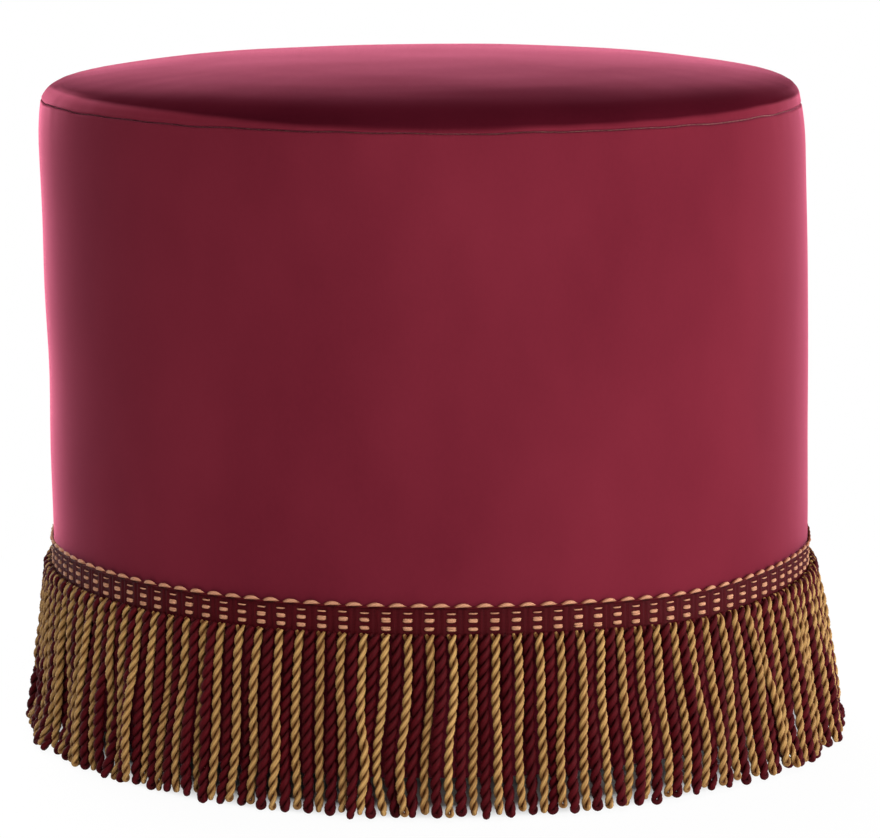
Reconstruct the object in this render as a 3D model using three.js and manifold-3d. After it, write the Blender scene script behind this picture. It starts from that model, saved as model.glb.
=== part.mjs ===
// A round upholstered stool: a drum of plywood, posts and hardboard, padded, covered in velvet, standing on
// four low feet, with a two-colour bullion fringe round its foot. Millimetres, +Z up. The origin is the
// middle of the drum at floor level, and every height is counted up from the floor.
import * as THREE from 'three';
import { mergeVertices } from 'three/addons/utils/BufferGeometryUtils.js';
import Module from 'manifold-3d';

const wasm = await Module();
wasm.setup();

// Clearances
const fit = 0.3; // gap between pieces that touch
const overrun = 2; // how far a cutting solid runs past a face

// Drum, outside to inside
const drumRadius = 228; // outer face of the side cover
const coverThick = 1.8;
const waddingThick = 6;
const foamThick = 10;
const wallThick = 3;

// Frame, floor to seat
const footHeight = 20;
const dustThick = 0.8;
const ringThick = 15;
const ringWidth = 86;
const postLength = 285;
const postThick = 25; // along the radius
const postWidth = 40; // across the radius
const postSetIn = 3; // from the rim of the boards to the outer face of a post
const postCount = 6;
const boardThick = 15;
const buttGap = 1; // between the two ends of the wall sheet

// Seat
const seatFoamThick = 56; // at the middle
const seatWaddingThick = 8;
const crownRise = 18; // from the ridge of the edge to the top of the crown
const crownFlat = 30; // radius of the level middle of the crown
const crownPower = 2.6; // how late the crown falls away
const edgeReach = 5.5; // how far the rolled edge stands out past the ridge
const edgeDepth = 8; // from the ridge down to the widest line of the rolled edge
const seamLip = 2; // from the widest line down to the seam
const seamTuck = 1.4; // how far the seam is drawn in
const tuckHeight = 4; // over which the side cover is drawn in
const foamCorner = 4; // bevel round the top of the seat foam
const foamRim = 1; // side of the seat foam above the seam, below its bevel

// Underside
const turnIn = 40; // how far the side cover is turned in under the base
const coverCorner = 2; // bevel round the foot of the side cover
const hemLap = 12; // how far the dust cover laps over the turned-in cover
const hemRamp = 7; // width of the step of the dust cover down to its hem

// Feet
const footCount = 4;
const footMargin = 8; // from the top rim of a foot to the step of the dust cover
const footTopRadius = 22;
const footBaseRadius = 19;
const footCollar = 5; // height of the straight collar at the top of a foot
const footBevel = 1.5;
const headWell = 8; // depth of the well in a foot's base, where the head of its screw bears

// Screws
const panHeadRadius = 4.5;
const panHeadHeight = 3;
const flatHeadRadius = 4.2;
const flatHeadHeight = 3;
const flatHeadSink = 0.5; // below the face of the board
const shankRadius = 2;
const tipHeight = 3;
const footScrewLength = 25; // below the head
const postScrewLength = 50; // with the head
const recessWidth = 1;
const recessDepth = 1.4;
const recessShare = 0.62; // length of the cross recess as a share of the head's width

// Fringe
const cordWidth = 5.2;
const cordSpace = 0.8; // between two cords where they leave the heading
const cordDrop = 97; // from the heading to the ends of the cords
const floorGap = 3; // below the ends of the cords
const goldFlare = 15.5; // how far the ends stand out past the tops
const burgundyFlare = 16;
const sliceThick = 1; // yarn slice of the heading that carries the cords of one colour
const sliceHeight = 3;
const tapeThick = 1;
const tapeHeight = 13.2;
const lipRadius = 1.75;

// Faceting
const roundSides = 48;
const footSides = 16;
const screwSides = 8;
const crownSteps = 4;
const edgeSteps = 3;
const lipSides = 5;

// Heights
const dustBottom = footHeight + fit;
const dustTop = dustBottom + dustThick;
const ringBottom = dustTop + fit;
const ringTop = ringBottom + ringThick;
const postBottom = ringTop + fit;
const postTop = postBottom + postLength;
const boardBottom = postTop + fit;
const boardTop = boardBottom + boardThick;
const seatFoamBottom = boardTop + fit;
const seatFoamTop = seatFoamBottom + seatFoamThick;
const seatHeight = seatFoamTop + fit + seatWaddingThick + fit + coverThick;
const ridgeHeight = seatHeight - crownRise;
const widestHeight = ridgeHeight - edgeDepth;
const seamHeight = widestHeight - seamLip;
const turnInTop = ringBottom - fit;
const turnInBottom = turnInTop - coverThick;
const hemTop = turnInBottom - fit;
const hemBottom = hemTop - dustThick;

// Radii
const waddingRadius = drumRadius - coverThick - fit;
const foamRadius = waddingRadius - waddingThick - fit;
const wallRadius = foamRadius - foamThick - fit;
const boardRadius = wallRadius - wallThick - fit;
const ringHole = boardRadius - ringWidth;
const postCircle = boardRadius - postSetIn - postThick / 2;
const turnInRadius = drumRadius - turnIn;
const hemRadius = turnInRadius + hemLap;
const ridgeRadius = drumRadius - edgeReach;
const rampEnd = turnInRadius - fit;
const rampStart = rampEnd - hemRamp;
const footCircle = rampStart - footMargin - footTopRadius;
const tapeRadius = drumRadius + fit;
const burgundySlice = tapeRadius + tapeThick + fit;
const goldSlice = burgundySlice + sliceThick + fit;

const full = 2 * Math.PI;
const quarter = Math.PI / 2;
const upward = new THREE.Vector3(0, 0, 1);

const finish = (color, roughness, metalness = 0) => ({ color, roughness, metalness });
const velvet = finish(0x7a2638, 0.85);
const fringeGold = finish(0xb89254, 0.7);
const fringeBurgundy = finish(0x4a0c1c, 0.8);
const wadding = finish(0xe9e6de, 0.95);
const foam = finish(0xe8dfae, 0.9);
const plywood = finish(0xc9a574, 0.65);
const pine = finish(0xd9b883, 0.65);
const hardboard = finish(0x6f4a2c, 0.7);
const cambric = finish(0x1b1b1d, 0.9);
const plastic = finish(0x151515, 0.5);
const steel = finish(0xb9bcc0, 0.35, 0.9);

const stool = new THREE.Group();

function addPiece(name, geometry, look) {
  const mesh = new THREE.Mesh(geometry, new THREE.MeshStandardMaterial(look));
  mesh.name = name;
  stool.add(mesh);
  return mesh;
}

// A solid turned about +Z from a profile of [radius, height] points, listed with the material on its left.
function turned(profile, sides) {
  const points = profile.map(([radius, height]) => new THREE.Vector2(radius, height));
  return new THREE.LatheGeometry(points, sides).rotateX(quarter);
}

// The same, for a ring: its profile closes on itself.
function turnedRing(profile, sides) {
  return turned([...profile, profile[0]], sides);
}

function ringProfile(inner, outer, bottom, top) {
  return [[inner, bottom], [outer, bottom], [outer, top], [inner, top]];
}

function block(width, depth, height) {
  return new THREE.BoxGeometry(width, depth, height);
}

function toSolid(geometry) {
  const bare = geometry.clone();
  bare.deleteAttribute('normal');
  bare.deleteAttribute('uv');
  const merged = mergeVertices(bare);
  return new wasm.Manifold(new wasm.Mesh({
    numProp: 3,
    vertProperties: new Float32Array(merged.attributes.position.array),
    triVerts: new Uint32Array(merged.index.array),
  }));
}

function toGeometry(solid) {
  const mesh = solid.getMesh();
  const geometry = new THREE.BufferGeometry();
  geometry.setAttribute('position', new THREE.BufferAttribute(mesh.vertProperties, mesh.numProp));
  geometry.setIndex(new THREE.BufferAttribute(mesh.triVerts, 1));
  geometry.computeVertexNormals();
  return geometry;
}

function cut(geometry, cutters) {
  const solid = cutters.reduce((rest, cutter) => rest.subtract(toSolid(cutter)), toSolid(geometry));
  return toGeometry(solid);
}

// Places on a circle: [x, y, angle] for each of count places, the first at the angle start.
function circlePlaces(count, radius, start) {
  const angles = Array.from({ length: count }, (_, i) => start + (full * i) / count);
  return angles.map((angle) => [radius * Math.cos(angle), radius * Math.sin(angle), angle]);
}

const footPlaces = circlePlaces(footCount, footCircle, quarter / 2);
const postPlaces = circlePlaces(postCount, postCircle, quarter);

// Screws, each with its head's outer face at height 0 and its point up
function panScrew() {
  const shankEnd = panHeadHeight + footScrewLength - tipHeight;
  const body = turned([
    [0, 0],
    [panHeadRadius, 0],
    [panHeadRadius, panHeadHeight],
    [shankRadius, panHeadHeight],
    [shankRadius, shankEnd],
    [0, shankEnd + tipHeight],
  ], screwSides);
  const recessLength = 2 * panHeadRadius * recessShare;
  const slot = block(recessLength, recessWidth, 2 * recessDepth);
  return cut(body, [slot, slot.clone().rotateZ(quarter)]);
}

// A countersunk screw from the rim of its head to its point, grown by gap
function flatScrewLine(gap) {
  return [
    [flatHeadRadius + gap, 0],
    [shankRadius + gap, flatHeadHeight + gap],
    [shankRadius + gap, postScrewLength - tipHeight + gap],
    [0, postScrewLength + gap],
  ];
}

function flatScrew() {
  return turned([[0, 0], ...flatScrewLine(0)], screwSides);
}

function flatScrewHole() {
  const mouth = [[0, -overrun], [flatHeadRadius + fit, -overrun]];
  return turned([...mouth, ...flatScrewLine(fit)], screwSides);
}

function shankHole(bottom, top) {
  return turned([
    [0, bottom],
    [shankRadius + fit, bottom],
    [shankRadius + fit, top],
    [0, top],
  ], screwSides);
}

// Base screws point up through the base ring, and seat screws down through the seat board.
const baseScrewHeight = ringBottom + flatHeadSink;
const seatScrewHeight = boardTop - flatHeadSink;

function placeBaseScrew(geometry, [x, y]) {
  return geometry.translate(x, y, baseScrewHeight);
}

function placeSeatScrew(geometry, [x, y]) {
  return geometry.rotateX(Math.PI).translate(x, y, seatScrewHeight);
}

// Feet
function footGeometry() {
  return turnedRing([
    [panHeadRadius + fit, 0],
    [footBaseRadius - footBevel, 0],
    [footBaseRadius, footBevel],
    [footTopRadius, footHeight - footCollar],
    [footTopRadius, footHeight],
    [shankRadius + fit, footHeight],
    [shankRadius + fit, headWell],
    [panHeadRadius + fit, headWell],
  ], footSides);
}

function addFeet() {
  footPlaces.forEach(([x, y], i) => {
    addPiece(`foot_${i + 1}`, footGeometry().translate(x, y, 0), plastic);
    const headFace = headWell - fit - panHeadHeight;
    addPiece(`foot_screw_${i + 1}`, panScrew().translate(x, y, headFace), steel);
  });
}

// Frame
function addBaseRing() {
  const screwTip = headWell - fit + footScrewLength;
  const footHoles = footPlaces.map(([x, y]) => (
    shankHole(ringBottom - overrun, screwTip + fit).translate(x, y, 0)
  ));
  const postHoles = postPlaces.map((place) => placeBaseScrew(flatScrewHole(), place));
  const ring = turnedRing(ringProfile(ringHole, boardRadius, ringBottom, ringTop), roundSides);
  addPiece('base_ring', cut(ring, [...footHoles, ...postHoles]), plywood);
}

function addPosts() {
  postPlaces.forEach((place, i) => {
    const [x, y, angle] = place;
    const post = block(postThick, postWidth, postLength)
      .rotateZ(angle)
      .translate(x, y, postBottom + postLength / 2);
    const holes = [placeBaseScrew(flatScrewHole(), place), placeSeatScrew(flatScrewHole(), place)];
    addPiece(`post_${i + 1}`, cut(post, holes), pine);
    addPiece(`base_screw_${i + 1}`, placeBaseScrew(flatScrew(), place), steel);
    addPiece(`seat_screw_${i + 1}`, placeSeatScrew(flatScrew(), place), steel);
  });
}

function addSeatBoard() {
  const board = turned([
    [0, boardBottom],
    [boardRadius, boardBottom],
    [boardRadius, boardTop],
    [0, boardTop],
  ], roundSides);
  const holes = postPlaces.map((place) => placeSeatScrew(flatScrewHole(), place));
  addPiece('seat_board', cut(board, holes), plywood);
}

// The wall sheet goes once round the frame, and its ends meet over the post at the back.
function addSideWall() {
  const section = ringProfile(wallRadius - wallThick, wallRadius, ringBottom, boardTop);
  const sheet = turnedRing(section, roundSides);
  const slotLength = wallThick + 2 * overrun;
  const slotHeight = boardTop - ringBottom + 2 * overrun;
  const slot = block(buttGap, slotLength, slotHeight)
    .translate(0, wallRadius - wallThick / 2, (ringBottom + boardTop) / 2);
  addPiece('side_wall', cut(sheet, [slot]), hardboard);
}

// Padding of the side
function addSidePadding() {
  const foamBand = ringProfile(foamRadius - foamThick, foamRadius, ringBottom, boardTop);
  addPiece('side_foam', turnedRing(foamBand, roundSides), foam);
  const tuckBottom = seamHeight - tuckHeight - fit;
  const waddingTop = seamHeight - fit;
  addPiece('side_wadding', turnedRing([
    [waddingRadius - waddingThick, ringBottom],
    [waddingRadius, ringBottom],
    [waddingRadius, tuckBottom],
    [waddingRadius - seamTuck, waddingTop],
    [waddingRadius - waddingThick, waddingTop],
  ], roundSides), wadding);
}

// The line of the seat from the middle to the seam, moved in by inset: level, then falling away as a power
// of the way to the ridge, then a quarter of an ellipse out to the widest line, then in to the seam.
function crownLine(inset, seamEnd) {
  const line = [[0, seatHeight - inset]];
  for (let i = 0; i <= crownSteps; i += 1) {
    const way = i / crownSteps;
    const radius = crownFlat + (ridgeRadius - crownFlat) * way;
    line.push([radius, seatHeight - inset - crownRise * way ** crownPower]);
  }
  for (let i = 1; i <= edgeSteps; i += 1) {
    const turn = (quarter * i) / edgeSteps;
    const radius = ridgeRadius + (edgeReach - inset) * Math.sin(turn);
    line.push([radius, widestHeight + (edgeDepth - inset) * Math.cos(turn)]);
  }
  line.push([drumRadius - inset - seamTuck, seamEnd]);
  return line;
}

// The line of the foam's top, moved out by gap, from its side to the middle
function foamLine(gap) {
  const top = seatFoamTop + gap;
  const side = foamRadius + gap;
  const sideTop = seamHeight + foamRim + gap;
  const shoulder = side - foamCorner;
  const rise = top - sideTop - foamCorner;
  const line = [[side, sideTop]];
  for (let i = crownSteps; i >= 0; i -= 1) {
    const way = i / crownSteps;
    const radius = crownFlat + (shoulder - crownFlat) * way;
    line.push([radius, top - rise * way ** crownPower]);
  }
  line.push([0, top]);
  return line;
}

function addSeat() {
  const seamEnd = seamHeight + fit / 2;
  addPiece('seat_foam', turned([
    [0, seatFoamBottom],
    [foamRadius, seatFoamBottom],
    ...foamLine(0),
  ], roundSides), foam);
  const waddingInner = foamLine(fit).reverse();
  const waddingOuter = crownLine(coverThick + fit, seamHeight).reverse();
  addPiece('seat_wadding', turned([
    ...waddingInner,
    [foamRadius + fit, seamHeight],
    ...waddingOuter,
  ], roundSides), wadding);
  addPiece('seat_cover', turned([
    ...crownLine(coverThick, seamEnd),
    ...crownLine(0, seamEnd).reverse(),
  ], roundSides), velvet);
}

function addSideCover() {
  const inner = drumRadius - coverThick;
  const tuckBottom = seamHeight - tuckHeight;
  const seamEnd = seamHeight - fit / 2;
  addPiece('side_cover', turnedRing([
    [turnInRadius, turnInBottom],
    [drumRadius - coverCorner, turnInBottom],
    [drumRadius, turnInBottom + coverCorner],
    [drumRadius, tuckBottom],
    [drumRadius - seamTuck, seamEnd],
    [inner - seamTuck, seamEnd],
    [inner, tuckBottom],
    [inner, turnInTop],
    [turnInRadius, turnInTop],
  ], roundSides), velvet);
}

// The dust cover lies flat under the ring and steps down to lap over the turned-in edge of the side cover.
function addDustCover() {
  const sheet = turned([
    [0, dustBottom],
    [rampStart, dustBottom],
    [rampEnd, hemBottom],
    [hemRadius, hemBottom],
    [hemRadius, hemTop],
    [rampEnd, hemTop],
    [rampStart, dustTop],
    [0, dustTop],
  ], roundSides);
  const holes = footPlaces.map(([x, y]) => (
    shankHole(dustBottom - overrun, dustTop + overrun).translate(x, y, 0)
  ));
  addPiece('dust_cover', cut(sheet, holes), cambric);
}

// Fringe
const headingBottom = floorGap + cordDrop;

// Cords of each colour: as many as find room, one of each colour in turn
const cordCount = Math.floor((full * burgundySlice) / (2 * (cordWidth + cordSpace)));

// A comb of cords bent into a ring: a thin ring of yarn with square cords hanging from it, which stand out
// evenly towards their ends. A cord takes one step of the ring, and the space to the next cord another.
function cordComb(inner, flare, start) {
  const outer = inner + sliceThick;
  const top = headingBottom + sliceHeight;
  const halfAngle = cordWidth / 2 / inner;
  const half = cordWidth / 2;
  const endRadius = (inner + outer) / 2 + flare;
  const points = [];
  const faces = [];
  const quad = (a, b, c, d) => faces.push(a, b, c, a, c, d);
  for (let i = 0; i < cordCount; i += 1) {
    const angle = start + (full * i) / cordCount;
    for (const side of [-1, 1]) {
      const edge = angle + side * halfAngle;
      const [x, y] = [Math.cos(edge), Math.sin(edge)];
      points.push(inner * x, inner * y, headingBottom);
      points.push(outer * x, outer * y, headingBottom);
      points.push(outer * x, outer * y, top);
      points.push(inner * x, inner * y, top);
      for (const out of [-half, half]) {
        const end = new THREE.Vector3(endRadius + out, side * half, floorGap);
        points.push(...end.applyAxisAngle(upward, angle));
      }
    }
  }
  const perSide = 6;
  const corners = points.length / upward.toArray().length;
  const cornersOf = (first) => Array.from({ length: perSide }, (_, k) => (first + k) % corners);
  for (let i = 0; i < cordCount; i += 1) {
    const first = 2 * perSide * i;
    const [inA, outA, outTopA, inTopA, inEndA, outEndA] = cornersOf(first);
    const [inB, outB, outTopB, inTopB, inEndB, outEndB] = cornersOf(first + perSide);
    const [inC, outC, outTopC, inTopC] = cornersOf(first + 2 * perSide);
    quad(outA, outB, outTopB, outTopA);
    quad(inB, inA, inTopA, inTopB);
    quad(outTopA, outTopB, inTopB, inTopA);
    quad(outB, outC, outTopC, outTopB);
    quad(inC, inB, inTopB, inTopC);
    quad(outTopB, outTopC, inTopC, inTopB);
    quad(outC, outB, inB, inC);
    quad(outEndA, outEndB, outB, outA);
    quad(inEndB, inEndA, inA, inB);
    quad(inEndA, outEndA, outA, inA);
    quad(outEndB, inEndB, inB, outB);
    quad(inEndA, inEndB, outEndB, outEndA);
  }
  const geometry = new THREE.BufferGeometry();
  geometry.setAttribute('position', new THREE.Float32BufferAttribute(points, 3));
  geometry.setIndex(faces);
  geometry.computeVertexNormals();
  return geometry;
}

function addFringe() {
  const tapeTop = headingBottom + tapeHeight;
  const tape = ringProfile(tapeRadius, tapeRadius + tapeThick, headingBottom, tapeTop);
  addPiece('heading_tape', turnedRing(tape, roundSides), fringeBurgundy);
  const lipHeight = tapeTop + fit + lipRadius;
  const lip = Array.from({ length: lipSides }, (_, i) => {
    const turn = (full * i) / lipSides;
    return [tapeRadius + lipRadius * (1 + Math.cos(turn)), lipHeight + lipRadius * Math.sin(turn)];
  });
  addPiece('lip_cord', turnedRing(lip, roundSides), fringeGold);
  const halfPitch = full / cordCount / 2;
  addPiece('burgundy_cords', cordComb(burgundySlice, burgundyFlare, halfPitch), fringeBurgundy);
  addPiece('gold_cords', cordComb(goldSlice, goldFlare, 0), fringeGold);
}

addFeet();
addDustCover();
addBaseRing();
addPosts();
addSeatBoard();
addSideWall();
addSidePadding();
addSeat();
addSideCover();
addFringe();

export default stool;
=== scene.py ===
"""Looks of a round velvet stool with a two-colour bullion fringe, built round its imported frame.

Metres, +Z up, with the drum's axis at X = Y = 0 and the floor at Z = 0. New surfaces are grids that are
worked out as whole arrays, and most of them go once round the axis.
"""

import math

import bpy
import numpy as np
from mathutils import Matrix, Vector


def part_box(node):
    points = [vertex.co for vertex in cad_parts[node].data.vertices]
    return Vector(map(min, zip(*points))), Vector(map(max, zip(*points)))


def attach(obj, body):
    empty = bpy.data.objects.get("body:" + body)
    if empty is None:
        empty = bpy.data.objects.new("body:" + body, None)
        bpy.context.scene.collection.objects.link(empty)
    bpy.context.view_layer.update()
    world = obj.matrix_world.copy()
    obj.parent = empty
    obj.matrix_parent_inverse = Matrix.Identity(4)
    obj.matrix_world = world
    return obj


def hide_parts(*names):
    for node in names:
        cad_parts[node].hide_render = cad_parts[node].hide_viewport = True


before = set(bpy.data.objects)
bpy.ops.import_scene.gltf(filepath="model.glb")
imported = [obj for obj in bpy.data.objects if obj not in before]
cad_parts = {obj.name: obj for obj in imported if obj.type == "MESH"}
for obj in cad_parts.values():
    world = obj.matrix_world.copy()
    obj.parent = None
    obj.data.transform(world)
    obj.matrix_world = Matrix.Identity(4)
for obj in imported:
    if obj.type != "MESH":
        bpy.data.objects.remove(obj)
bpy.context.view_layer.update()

bl_info = {
    "name": "Velvet tuffet",
    "version": (1, 0, 0),
    "blender": (4, 5, 0),
    "location": "View3D > Sidebar > Tuffet",
    "description": "Covers, padding, bullion fringe and frame finishes of a round velvet stool",
    "category": "Object",
}

MM = 0.001
FULL = 2 * math.pi
BODY = "root"


def span(node):
    """Largest radius, lowest and highest point of a node that is turned about the drum's axis."""
    low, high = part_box(node)
    return high.x, low.z, high.z


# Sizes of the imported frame
DRUM_RADIUS, SIDE_BOTTOM, SEAM_UNDER = span("side_cover")
SEAT_RADIUS, SEAM_OVER, SEAT_TOP = span("seat_cover")
TAPE_RADIUS, TAPE_BOTTOM, TAPE_TOP = span("heading_tape")
LIP_REACH, LIP_BOTTOM, LIP_TOP = span("lip_cord")
GOLD_REACH, CORD_BOTTOM, SLICE_TOP = span("gold_cords")
WADDING_RADIUS, WADDING_BOTTOM, WADDING_TOP = span("side_wadding")
FOAM_RADIUS, FOAM_BOTTOM, FOAM_TOP = span("side_foam")
WALL_RADIUS = span("side_wall")[0]
SEAT_FOAM_RADIUS, SEAT_FOAM_BOTTOM, SEAT_FOAM_TOP = span("seat_foam")
SEAT_WADDING_TOP = span("seat_wadding")[2]
DUST_RADIUS, HEM_BOTTOM, DUST_TOP = span("dust_cover")
FEET = [f"foot_{i}" for i in range(1, 5)]
SEAM_HEIGHT = (SEAM_UNDER + SEAM_OVER) / 2
TOUCH_GAP = 0.3 * MM


def paint(red, green, blue):
    """A colour given as shown on a screen, 0 to 255, as the linear colour that shaders use."""
    shown = np.array([red, green, blue]) / 255
    linear = np.where(shown <= 0.04045, shown / 12.92, ((shown + 0.055) / 1.055) ** 2.4)
    return tuple(float(value) for value in linear)


def length_of(name, description, default, **limits):
    """A length property, in metres."""
    return bpy.props.FloatProperty(
        name=name, description=description, default=default, unit="LENGTH", precision=5, **limits
    )


def colour_of(name, description, default):
    """A colour property."""
    return bpy.props.FloatVectorProperty(
        name=name, description=description, default=default, subtype="COLOR", min=0, max=1
    )


class CoverSettings(bpy.types.PropertyGroup):
    """Sizes and colours of the velvet covers."""

    crown_rise: length_of("Crown rise", "From the ridge of the edge to the top of the seat", 20.3 * MM)
    crown_flat: length_of("Level middle", "Radius of the level middle of the crown", 30 * MM)
    crown_power: bpy.props.FloatProperty(name="Crown power", description="How late the crown falls away", default=1.6)
    crown_full: bpy.props.FloatProperty(name="Crown fullness", description="Power of its fall at the edge", default=0.48)
    crown_tilt: bpy.props.FloatProperty(name="Crown tilt", description="Rise of the crown to the right", default=0.007)
    ridge_inset: length_of("Ridge inset", "From the side in to the ridge of the edge", 5.0 * MM)
    edge_slant: length_of("Edge slant", "How far the band over the seam leans in", 3.0 * MM)
    edge_round: length_of("Edge rounding", "Rounding of the ridge", 3.2 * MM)
    seam_sag: length_of("Seam sag", "How far the seam sinks towards the front right", 2.0 * MM)
    seam_rise: length_of("Seam rise", "How much higher than in the solids the seam lies all round", 2.2 * MM)
    tuck: length_of("Seam tuck", "How deep the velvet turns in at the seam", 1.5 * MM)
    tuck_height: length_of("Seam tuck height", "Height of the turned velvet on each side of the seam", 1.5 * MM)
    draw_in: length_of("Seam draw", "How far the side is drawn in by its seam", 2.2 * MM)
    draw_height: length_of("Seam draw height", "How far below the seam the side is drawn in", 26 * MM)
    lean: length_of("Lean", "How far the padding has settled to the left at the seam", 6.2 * MM)
    crown_back: bpy.props.FloatProperty(
        name="Crown back", description="How far the crown's middle leans back, as a share of the lean", default=1.85
    )
    thick: length_of("Thickness", "Velvet with its backing", 1.4 * MM)
    turn_in: length_of("Turn in", "How far the side cover is turned in under the base", 40 * MM)
    corner: length_of("Foot corner", "Rounding at the foot of the side cover", 4 * MM)
    pucker_count: bpy.props.IntProperty(name="Puckers", description="Stitch puckers round the seam", default=360)
    pucker_depth: length_of("Pucker depth", "How deep the stitches pull the velvet in", 0.2 * MM)
    columns: bpy.props.IntProperty(name="Columns", description="Grid columns round the drum", default=1440)
    pressure: bpy.props.FloatProperty(name="Pressure", description="Cloth pressure of the padding", default=4.0)
    swell_cap: length_of("Swell cap", "How far the simulated velvet may swell", 8 * MM)
    swell_waves: bpy.props.IntProperty(name="Swell waves", description="Waves kept round the drum", default=8)
    velvet: colour_of("Velvet", "Colour of the velvet's pile", paint(108, 33, 46))
    velvet_dark: colour_of("Velvet shade", "Colour where the pile lies the other way", paint(88, 23, 35))
    # Painted shade: the crown's body colours are multiplied by this, darker, to stand in for the top lying in less
    # light
    crown_painted_shade: colour_of("Crown shade", "Tone of the crown's pile against the side's", (0.33, 0.25, 0.31))
    bloom: colour_of("Velvet bloom", "Colour of the pile's sheen at its edges", (1.0, 0.245, 0.395))
    seat_bloom: bpy.props.FloatProperty(name="Seat bloom", description="Strength of the seat's sheen", default=0.57)
    seat_spread: bpy.props.FloatProperty(name="Seat spread", description="Roughness of the seat's sheen", default=0.2)
    side_bloom: bpy.props.FloatProperty(name="Side bloom", description="Strength of the side's sheen", default=1.0)
    side_spread: bpy.props.FloatProperty(name="Side spread", description="Roughness of the side's sheen", default=0.3)


class FringeSettings(bpy.types.PropertyGroup):
    """Sizes and colours of the bullion fringe and its heading."""

    cords: bpy.props.IntProperty(name="Cords", description="Cords of each colour", default=120)
    ply_out: length_of("Ply thickness", "Half the thickness of a ply, out from the cord's middle", 1.33 * MM)
    ply_wide: length_of("Ply width", "Half the width of a ply along the twist", 1.56 * MM)
    burgundy_share: bpy.props.FloatProperty(name="Burgundy size", description="Burgundy cords against gold", default=1.28)
    twist: length_of("Twist", "Length over which a ply goes once round the cord", 14.8 * MM)
    flare: length_of("Flare", "How far the ends stand out past the heading", 11.6 * MM)
    flare_lean: length_of("Flare lean", "How much more the right side flares, and the left less", 4.6 * MM)
    sweep: length_of("Sweep", "How far the ends are brushed to the front", 1.5 * MM)
    gold_end: length_of("Gold ends", "Height of the gold ends above the floor", 4 * MM)
    burgundy_end: length_of("Burgundy ends", "Height of the burgundy ends above the floor", 1.8 * MM)
    end_jitter: length_of("End jitter", "How unevenly the cords end", 1.0 * MM)
    sway: length_of("Sway", "How far the cords stray sideways at their ends", 1.5 * MM)
    droop: length_of("Droop", "How far the heading dips where it was sewn on low, at the front right", 2.4 * MM)
    seed: bpy.props.IntProperty(name="Seed", description="Seed of the cords' stray places", default=11)
    gold: colour_of("Gold", "Colour of the gold yarn", paint(173, 136, 82))
    weft: colour_of("Weft gold", "Colour of the gold threads of the heading and the lip", paint(181, 133, 103))
    burgundy: colour_of("Burgundy", "Colour of the burgundy yarn", paint(70, 7, 14))


class PaddingSettings(bpy.types.PropertyGroup):
    """Sizes and colours of the foam, the wadding and the dust cover."""

    lumps: length_of("Lumps", "How uneven the wadding is", 0.5 * MM)
    foam: colour_of("Foam", "Colour of the foam", paint(232, 223, 174))
    wadding: colour_of("Wadding", "Colour of the polyester wadding", paint(233, 230, 222))
    cambric: colour_of("Dust cloth", "Colour of the dust cover", paint(30, 30, 33))
    staples: bpy.props.IntProperty(name="Staples", description="Staples round the dust cover", default=44)


class StageSettings(bpy.types.PropertyGroup):
    """Camera, lights and floor."""

    eye: bpy.props.FloatVectorProperty(
        name="Eye", description="Place of the camera", default=(5.46 * MM, -2.2341, 0.5627), subtype="TRANSLATION"
    )
    pitch: bpy.props.FloatProperty(
        name="Pitch", description="Angle of the camera below the horizon", default=math.radians(9.657), subtype="ANGLE"
    )
    roll: bpy.props.FloatProperty(
        name="Roll", description="Turn of the camera about its view", default=math.radians(0.139), subtype="ANGLE"
    )
    lens: bpy.props.FloatProperty(name="Lens", description="Focal length in millimetres", default=153.225)
    sensor: bpy.props.FloatProperty(name="Sensor", description="Width of the sensor in millimetres", default=36.0)
    floor: colour_of("Floor", "Colour of the floor", (0.86, 0.86, 0.86))
    floor_size: length_of("Floor size", "Side of the floor", 40.0)
    shadow_near: length_of("Shadow", "Radius within which the floor shows its whole shadow", 0.21)
    shadow_edge: length_of("Shadow edge", "Width over which most of the shadow ends", 0.03)
    shadow_fade: length_of("Shadow fade", "Width over which the rest of the shadow fades to white", 0.35)


# Shader maths


class Socket:
    """A node's output in shader maths: an operator on it adds the Math node that works it out."""

    def __init__(self, finish, output):
        self.finish = finish
        self.output = output

    def maths(self, operation, *values):
        return self.finish.node("ShaderNodeMath", {"operation": operation}, dict(enumerate(values)))

    def __add__(self, other):
        return self.maths("ADD", self, other)

    def __radd__(self, other):
        return self.maths("ADD", other, self)

    def __sub__(self, other):
        return self.maths("SUBTRACT", self, other)

    def __rsub__(self, other):
        return self.maths("SUBTRACT", other, self)

    def __mul__(self, other):
        return self.maths("MULTIPLY", self, other)

    def __rmul__(self, other):
        return self.maths("MULTIPLY", other, self)

    def __pow__(self, other):
        return self.maths("POWER", self, other)

    def sine(self):
        return self.maths("SINE", self)

    def size(self):
        """Its value without its sign."""
        return self.maths("ABSOLUTE", self)

    def larger(self, other):
        return self.maths("MAXIMUM", self, other)

    def clamped(self):
        """Limited to 0 to 1."""
        return self.maths("MINIMUM", self.larger(0.0), 1.0)


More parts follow.
